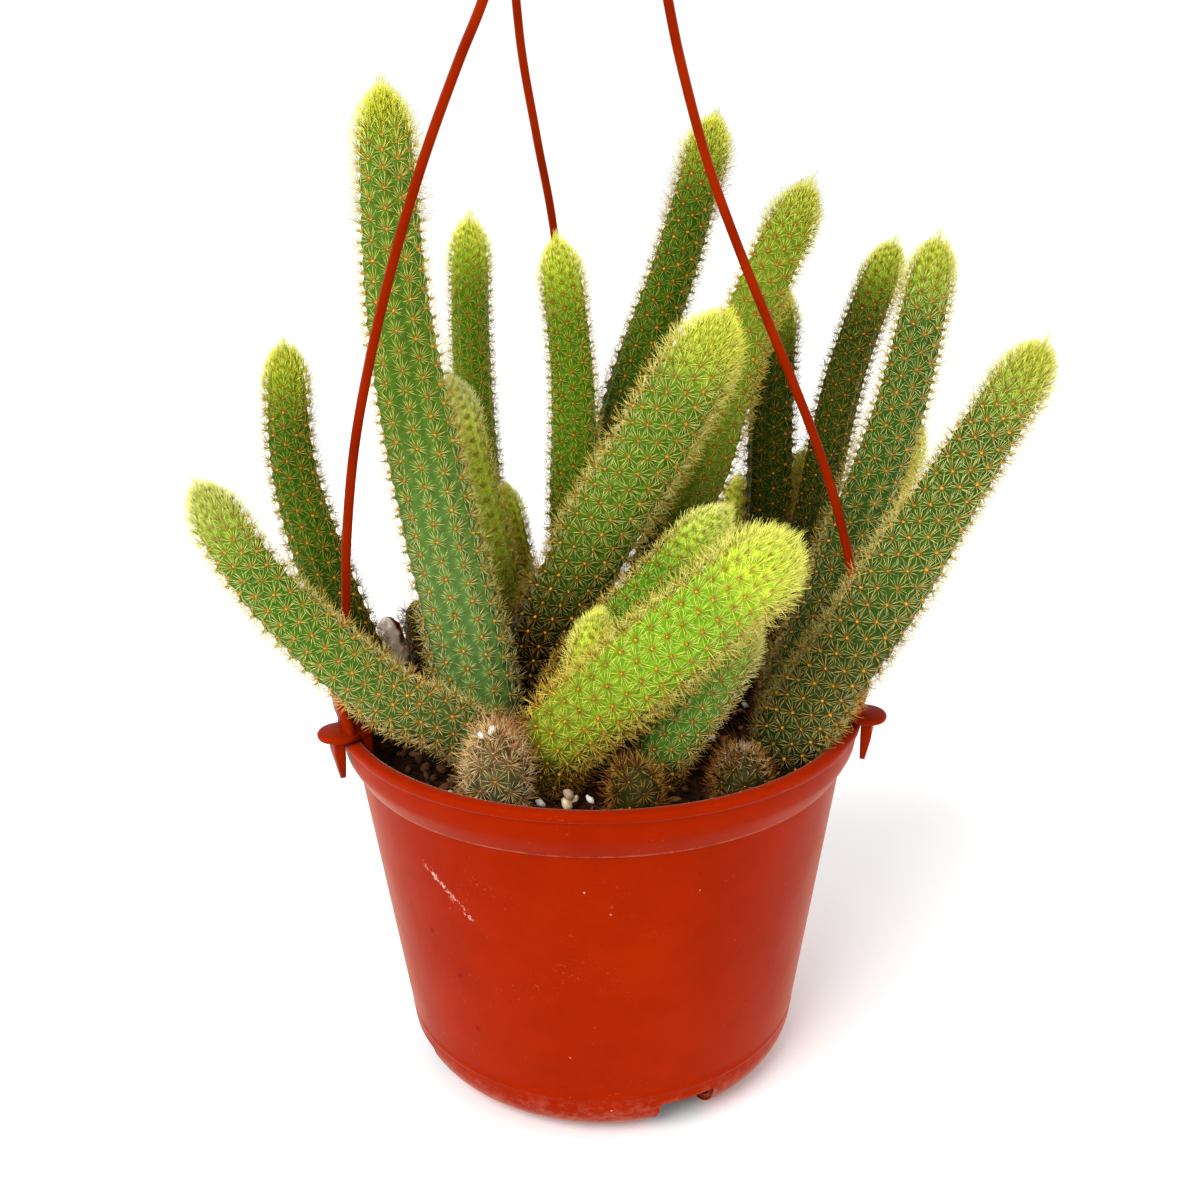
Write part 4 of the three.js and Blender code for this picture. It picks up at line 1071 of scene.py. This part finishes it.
def lumps(centres, sizes, random, flat):
    """Small irregular grains: a sphere of a few rings of points and two poles, whose radius varies at random,
    squashed by flat, narrowed, turned and tilted."""
    count = len(centres)
    polar = np.linspace(0, np.pi, GRAIN_RINGS + 2)[1:-1]
    shape = round_z(np.sin(polar)[:, None], angles_round(GRAIN_COLUMNS), np.cos(polar)[:, None])
    shape = np.concatenate([shape.reshape(-1, 3), [[0, 0, 1], [0, 0, -1]]])
    rough = 0.7 + 0.5 * random.random((count, len(shape), 1))
    stretch = np.stack([np.ones(count), 0.55 + 0.4 * random.random(count), flat * np.ones(count)], -1)
    grain = shape[None] * rough * stretch[:, None]
    angles = random.random((count, 2)) * 6.28
    c, s = np.cos(angles), np.sin(angles)
    x = grain[..., 0] * c[:, :1] - grain[..., 1] * s[:, :1]
    y = grain[..., 0] * s[:, :1] + grain[..., 1] * c[:, :1]
    z = grain[..., 2] + 0.5 * s[:, 1:] * x
    points = np.stack([x, y, z], -1) * sizes[:, None, None] + centres[:, None]
    faces = closed_tube(GRAIN_RINGS, GRAIN_COLUMNS)[:, ::-1]
    faces = faces[None] + len(shape) * np.arange(count)[:, None, None]
    return points.reshape(-1, 3), faces.reshape(-1, 3)


# The colour of each kind of grain: 0 peat, 1 bark, 2 perlite, 3 pale bark, 4 brown crumb.
GRAIN_COLOURS = [(34, 20, 12), (138, 92, 50), (240, 234, 222), (236, 208, 168), (88, 54, 30)]
BARK = 1
# Grains that show between the stems: x, y, radius, how far one lies above the bed on its neighbour, and kind.
SHOWN_GRAINS = np.array([
    (-3.4, -51.4, 1.4, 0, 2), (44.2, 7.6, 1.3, 0, 2), (53.8, -30.3, 1.8, 0, 2),
    (-16.4, -52.6, 1.4, 0.3, 2), (-9.4, -54.2, 2.1, 0, 3), (-9, -53.4, 1.7, 2.6, 3),
    (-7.6, -52.8, 1.3, 1.2, 3), (18.6, -51.5, 1.7, 0, 1), (-52.3, -21.6, 1.6, 0, 1),
    (-46.8, -34.4, 1.4, 0, 0), (24.5, -50.8, 1.3, 0, 0), (-18, -46, 1.4, 0, 0), (48.5, -43, 1.2, 0, 1),
    (-21.5, -40.5, 1.3, 0, 1), (22, -54.4, 1.0, 0, 2), (-42.6, -25, 1.5, 0, 1), (-39.8, -38.6, 1.9, 0, 4),
    (-49.8, -15.2, 1.6, 0, 0), (-54.6, -4.2, 1.4, 0, 1), (43, 3.4, 1.2, 0, 1), (-48.2, -30.4, 1.9, 0, 4),
    (-45.4, -36.8, 1.6, 0, 4), (-50.6, -25.2, 1.5, 0, 4), (-42.2, -42.4, 1.8, 0, 4),
    (-37.4, -47.8, 2, 0, 4), (-47.2, -40.2, 1.3, 0, 4), (-40.6, -45.4, 1.2, 0, 2),
    (-43.6, -31.6, 1.7, 0, 4), (-37.6, -42.4, 1.4, 0, 1), (-53.2, -30.8, 1.6, 0, 4),
    (-55.4, -20.2, 1.7, 0, 4), (33.6, -43.8, 1.5, 0, 4),
])


def soil_litter(random):
    """Grains of peat, crumbs, bark and perlite strewn on the bed, with the ones that show placed one by one.
    """
    radius = LITTER_RADIUS * np.sqrt(random.random(LITTER))
    turn = TURN * random.random(LITTER)
    size = 0.4 + 1.3 * random.random(LITTER) ** 2
    kind = random.choice([0, 4, 1, 2], LITTER, p=[0.5, 0.38, 0.08, 0.04])
    strewn = np.stack([radius * np.cos(turn), radius * np.sin(turn), size, 0 * size, kind], -1)
    x, y, size, lift, kind = np.concatenate([strewn, SHOWN_GRAINS]).T
    centres = np.stack([x, y, bed_height(x, y) + 0.4 * size + lift], -1)
    points, faces = lumps(centres, size, random, np.where(kind == BARK, 0.45, 0.85))
    tint = np.array([linear(*c) for c in GRAIN_COLOURS])[kind.astype(int)]
    tint = tint * (0.6 + 0.6 * random.random(len(kind)))[:, None]
    return points, faces, np.repeat(tint, len(points) // len(centres), axis=0)


# Hanger: each clip's angle from +X in degrees, and the points that its strand passes on its way to the hub.
CLIPS = {
    "hanger_strand_left": (202, [
        (-66.3, -26.7, 164), (-62.7, -25.2, 190), (-57.4, -23, 213), (-50.4, -20, 237), (-42, -16.4, 261),
        (-32.5, -12.4, 284), (-27, -10.1, 296), (-18.7, -6.6, 318), (-12.7, -4.1, 340)]),
    "hanger_strand_right": (343, [
        (64.7, -19.9, 168), (57.3, -17.7, 190), (47.6, -14.9, 213), (37.3, -11.8, 237), (28.4, -9.2, 260),
        (21.5, -7.2, 284), (18.8, -6.4, 296), (14.5, -5.1, 318), (10, -3.8, 340), (5.2, -2.4, 360)]),
    "hanger_strand_back": (92, [
        (-6, 71, 180), (-12, 61, 243), (-16, 54, 267), (-20, 45, 295), (-20, 29, 330), (-12, 15, 358)]),
}
# The blade of a strand: radius and height of its middle, and how wide and thick it is there.
BLADE = np.array([
    (74.8, 113.2, 11.4, 3.8), (74.9, 116, 11.6, 3.8), (76, 120, 11.2, 3.6), (76.5, 125, 9.4, 3.2),
    (75.9, 131, 6.6, 3), (74.6, 138, 4, 2.8), (72.9, 147, STRAND, STRAND)])


def turned_shape(profile, columns, centre):
    """A closed body turned from a profile of (radius, height) pairs, its ends on the axis, at a centre."""
    profile = np.asarray(profile, float)
    rows = profile[1:-1]
    points = round_z(rows[:, 0, None], angles_round(columns), rows[:, 1, None]).reshape(-1, 3)
    ends = [(0, 0, profile[0, 1]), (0, 0, profile[-1, 1])]
    return np.concatenate([points, ends]) + centre, closed_tube(len(rows), columns)


def turn_z(points, azimuth):
    """Points turned round the upright axis by an angle in degrees."""
    c, s = math.cos(math.radians(azimuth)), math.sin(math.radians(azimuth))
    return points @ np.array([[c, s, 0], [-s, c, 0], [0, 0, 1]])


def rod(path, s, across, out, half_width, half_depth, u, v):
    """A closed rod: at each length s of a path, a section with points u and v, scaled by a half width along
    the across direction and by a half depth along the out direction."""
    place = path.place(s)
    points = (place[:, None] + half_width[:, None, None] * u[None, :, None] * across[:, None]
              + half_depth[:, None, None] * v[None, :, None] * out[:, None])
    return np.concatenate([points.reshape(-1, 3), [place[0], place[-1]]]), closed_tube(len(s), len(u))


def strand(azimuth, line):
    """The strand: a rounded section with two grooves along it, wide and flat near the clip."""
    outward = round_z(1, math.radians(azimuth), 0)
    blade = np.outer(BLADE[:, 0], outward) + np.outer(BLADE[:, 1], [0, 0, 1])
    socket = HUB + SOCKET_RADIUS * outward
    line = [*blade, *line, socket - [0, 0, 8], socket + [0, 0, SOCKET_DEPTH - GAP]]
    path = Path(rounded_line(line), (-outward[1], outward[0], 0))
    s = np.linspace(0, 1, STRAND_RINGS) ** 1.15 * path.length
    _, across, out = path.frames(s)
    height = path.place(s)[:, 2]
    wide = np.interp(height, BLADE[:, 1], BLADE[:, 2])
    thick = np.interp(height, BLADE[:, 1], BLADE[:, 3])
    turn = angles_round(STRAND_COLUMNS)
    groove = 1 - 0.1 * np.exp(-((np.cos(2 * turn) + 1) / 0.25) ** 2) - 0.04 * np.cos(4 * turn)
    return rod(path, s, across, out, wide / 2, thick / 2, groove * np.cos(turn), groove * np.sin(turn))


def rounded_outline(outline, radius, steps=4):
    """A closed outline whose corners are each replaced by a quadratic curve between two points that lie the
    radius away from the corner on its two edges."""
    outline = np.asarray(outline, float)
    back = unit(np.roll(outline, 1, axis=0) - outline) * radius + outline
    ahead = unit(np.roll(outline, -1, axis=0) - outline) * radius + outline
    t = np.linspace(0, 1, steps + 1)[None, :, None]
    curve = (1 - t) ** 2 * back[:, None] + 2 * t * (1 - t) * outline[:, None] + t**2 * ahead[:, None]
    return curve.reshape(-1, 2)


def plate(outline, thickness):
    """A convex outline, anticlockwise, given a thickness along the third axis, its edges rounded by a bevel
    that is a quarter circle in three steps."""
    edge = np.roll(outline, -1, axis=0) - outline
    outward = unit(np.stack([edge[:, 1], -edge[:, 0]], -1))
    outward = unit(outward + np.roll(outward, 1, axis=0))
    centre = outline.mean(axis=0)
    turn = np.linspace(0, np.pi / 2, 4)
    inset = BEVEL * (1 - np.sin(turn))
    drop = thickness / 2 - BEVEL * (1 - np.cos(turn))
    inset = np.concatenate([inset, inset[::-1]])
    level = np.concatenate([-drop, drop[::-1]])
    layers = [np.c_[outline - i * outward, np.full(len(outline), z)] for i, z in zip(inset, level)]
    points = np.concatenate([*layers, [[*centre, level[0]], [*centre, level[-1]]]])
    return points, closed_tube(len(level), len(outline))


def clip(azimuth):
    """A bridge over the lip with a tapered prong outside and a short leg inside, and a round thumb disc."""
    seat = POT_HEIGHT + 0.3
    top = seat + BRIDGE_THICKNESS
    edge = [(DISC_RADIUS - 0.8, 0), (DISC_RADIUS - 0.2, 0.2), (DISC_RADIUS, 0.7), (DISC_RADIUS, 1.3),
            (DISC_RADIUS - 0.3, 1.75), (DISC_RADIUS - 1.0, DISC_THICKNESS)]
    disc = turned_shape([(0, 0), *edge, (0, DISC_THICKNESS)], 48, (DISC_CENTRE, 0, top - DISC_THICKNESS))
    outer = RIM_RADIUS + 0.35
    inner = RIM_RADIUS - LIP_WIDTH - 0.6
    half, end = CLIP_WIDTH / 2, PRONG_TIP_WIDTH / 2
    tip = seat - PRONG_DEPTH

    def block(low, high, near, far, radius):
        """A rounded block between two radii and two heights, as wide as the clip."""
        outline = rounded_outline([(near, low), (far, low), (far, high), (near, high)], radius)
        points, faces = plate(outline, CLIP_WIDTH)
        return points[:, [0, 2, 1]] * [1, -1, 1], faces

    bridge = block(seat, top - 0.12, inner - INNER_LEG_THICKNESS, outer + PRONG_THICKNESS - 0.1, 0.8)
    leg = block(seat - INNER_LEG_DEPTH, top - 0.3, inner - INNER_LEG_THICKNESS, inner, 0.9)
    outline = rounded_outline([(-end, tip), (end, tip), (half, tip + PRONG_TAPER), (half, top - 0.3),
                               (-half, top - 0.3), (-half, tip + PRONG_TAPER)], 1.5)
    points, faces = plate(outline, PRONG_THICKNESS)
    thinner = np.interp(points[:, 1], [tip, tip + PRONG_TAPER], [PRONG_TIP_SHARE, 1])
    points[:, 2] = (points[:, 2] + PRONG_THICKNESS / 2) * thinner
    prong = (points[:, [2, 0, 1]] + [outer, 0, 0], faces)
    return [(turn_z(points, azimuth), faces) for points, faces in (disc, bridge, leg, prong)]


def hook():
    """The hub, a domed boss with a rounded edge, and the hook: a round rod along an open loop, its end
    rounded off."""
    boss = turned_shape([
        (0, 0), (HUB_RADIUS - 1, 0), (HUB_RADIUS - 0.3, 0.3), (HUB_RADIUS, 1),
        (HUB_RADIUS - 0.3, HUB_HEIGHT * 0.35), (HUB_RADIUS - 0.9, HUB_HEIGHT * 0.62),
        (HUB_RADIUS * 0.8, HUB_HEIGHT * 0.8), (HUB_RADIUS * 0.6, HUB_HEIGHT * 0.9),
        (HUB_RADIUS * 0.4, HUB_HEIGHT * 0.97), (0, HUB_HEIGHT)], 64, HUB)
    top = HUB + [0, 0, HUB_HEIGHT]
    centre = top + [0, 0, HOOK_NECK + HOOK_RADIUS]
    angle = np.radians(np.arange(-50, 206, 30))
    loop = centre + HOOK_RADIUS * np.stack([np.cos(angle), 0 * angle, np.sin(angle)], -1)
    path = Path(rounded_line([top - [0, 0, 3], top + [0, 0, 3], *loop]), (0, 1, 0))
    s = np.linspace(0, path.length, HOOK_RINGS)
    _, side, up = path.frames(s)
    half = HOOK_ROD / 2
    girth = half * np.sqrt(1 - np.clip(1 - (path.length - s) / half, 0, 0.97) ** 2)
    turn = angles_round(HOOK_COLUMNS)
    return bare([boss, rod(path, s, side, up, girth, girth, np.cos(turn), np.sin(turn))])


# Studio: the sky's strength rises from the front to the back between two directions, as shares of +Y. The
# floor's reach is in metres. Each distant lamp has the direction that its light comes from, its breadth in
# degrees and its strength.
SKY = {"From Min": -0.35, "From Max": 0.25, "To Min": 0.62, "To Max": 1.02}
FLOOR_REACH = 6
LAMPS = {
    "key": ((-0.62, -0.8, 1.0), 35, 2.6),
    "fill": ((0.9, -0.7, 0.6), 60, 0.7),
}


def studio():
    """A pale floor under a white sky dimmer towards the viewer, one soft key light and a wide fill."""
    scene = bpy.context.scene
    scene.view_settings.view_transform = "Standard"
    scene.view_settings.look = "None"
    world = bpy.data.worlds.new("studio")
    world.use_nodes = True
    nodes, links = world.node_tree.nodes, world.node_tree.links
    direction = nodes.new("ShaderNodeSeparateXYZ")
    links.new(nodes.new("ShaderNodeTexCoord").outputs["Generated"], direction.inputs[0])
    level = nodes.new("ShaderNodeMapRange")
    for socket, value in SKY.items():
        level.inputs[socket].default_value = value
    links.new(direction.outputs["Y"], level.inputs["Value"])
    links.new(level.outputs["Result"], nodes["Background"].inputs["Strength"])
    nodes["Background"].inputs["Color"].default_value = (1, 1, 1, 1)
    scene.world = world
    mesh = bpy.data.meshes.new("floor")
    corners = [(-1, -1, 0), (1, -1, 0), (1, 1, 0), (-1, 1, 0)]
    mesh.from_pydata([(FLOOR_REACH * x, FLOOR_REACH * y, z) for x, y, z in corners], [], [(0, 1, 2, 3)])
    floor = bpy.data.objects.new("floor", mesh)
    scene.collection.objects.link(floor)
    paper = Finish("pale_paper", 0.9, linear(252, 252, 252), Specular_IOR_Level=0.0)
    mesh.materials.append(paper.material)
    for name, (source, breadth, strength) in LAMPS.items():
        light = bpy.data.lights.new(name, "SUN")
        light.angle = math.radians(breadth)
        light.energy = strength
        lamp = bpy.data.objects.new(name, light)
        lamp.location = source
        lamp.rotation_euler = (-Vector(source)).to_track_quat("-Z", "Y").to_euler()
        scene.collection.objects.link(lamp)


def camera():
    """A camera at CAMERA_PLACE that looks along +Y, turned aside, down and tilted by its three angles."""
    lens = bpy.data.cameras.new("camera")
    lens.lens = CAMERA_LENS
    lens.sensor_width = 36
    lens.clip_start = 0.01
    seen_from = bpy.data.objects.new("camera", lens)
    place = Matrix.Translation(Vector(CAMERA_PLACE) * MM)
    aside = Matrix.Rotation(math.radians(CAMERA_ASIDE), 4, "Z")
    down = Matrix.Rotation(math.radians(90 - CAMERA_DOWN), 4, "X")
    tilt = Matrix.Rotation(math.radians(CAMERA_TILT), 4, "Z")
    seen_from.matrix_world = place @ aside @ down @ tilt
    bpy.context.scene.collection.objects.link(seen_from)
    bpy.context.scene.camera = seen_from


camera()
studio()

pot_plastic = pot_finish()
hanger_plastic = hanger_finish()
peat = soil_finish()
skin = tinted_finish("stem_skin", roughness=0.55, size=1.6, depth=0.25, dark=0.82, light=1.16, shine=0.2,
                     Specular_Tint=WAXY)
spine = tinted_finish("spine", roughness=0.5, size=3.0, depth=0.0, dark=0.92, light=1.06, shine=0.2,
                      Specular_Tint=WAXY)
felt = tinted_finish("areole_felt", roughness=0.95, size=0.5, depth=0.1, dark=0.8, light=1.15, shine=0.1)
grain = tinted_finish("perlite_and_bark", roughness=0.9, size=0.9, depth=0.3, dark=0.7, light=1.2, shine=0.2)

make_piece("moulded_pot", *pot_shell(), [pot_plastic], "pot")
bed, bed_faces = soil_bed(np.random.default_rng(3))
litter = soil_litter(np.random.default_rng(4))
points, faces, tint, kinds = joined([(bed, bed_faces, np.zeros((len(bed), 3))), litter])
make_piece("potting_soil", points, faces, [peat, grain], "soil", tint, kinds)
make_piece("hanging_hook", *hook(), [hanger_plastic], "hanger_hook")
for name, (azimuth, line) in CLIPS.items():
    make_piece(name + "_moulded", *bare([strand(azimuth, line), *clip(azimuth)]), [hanger_plastic], name)
grow_stems(skin, spine, felt, grain)
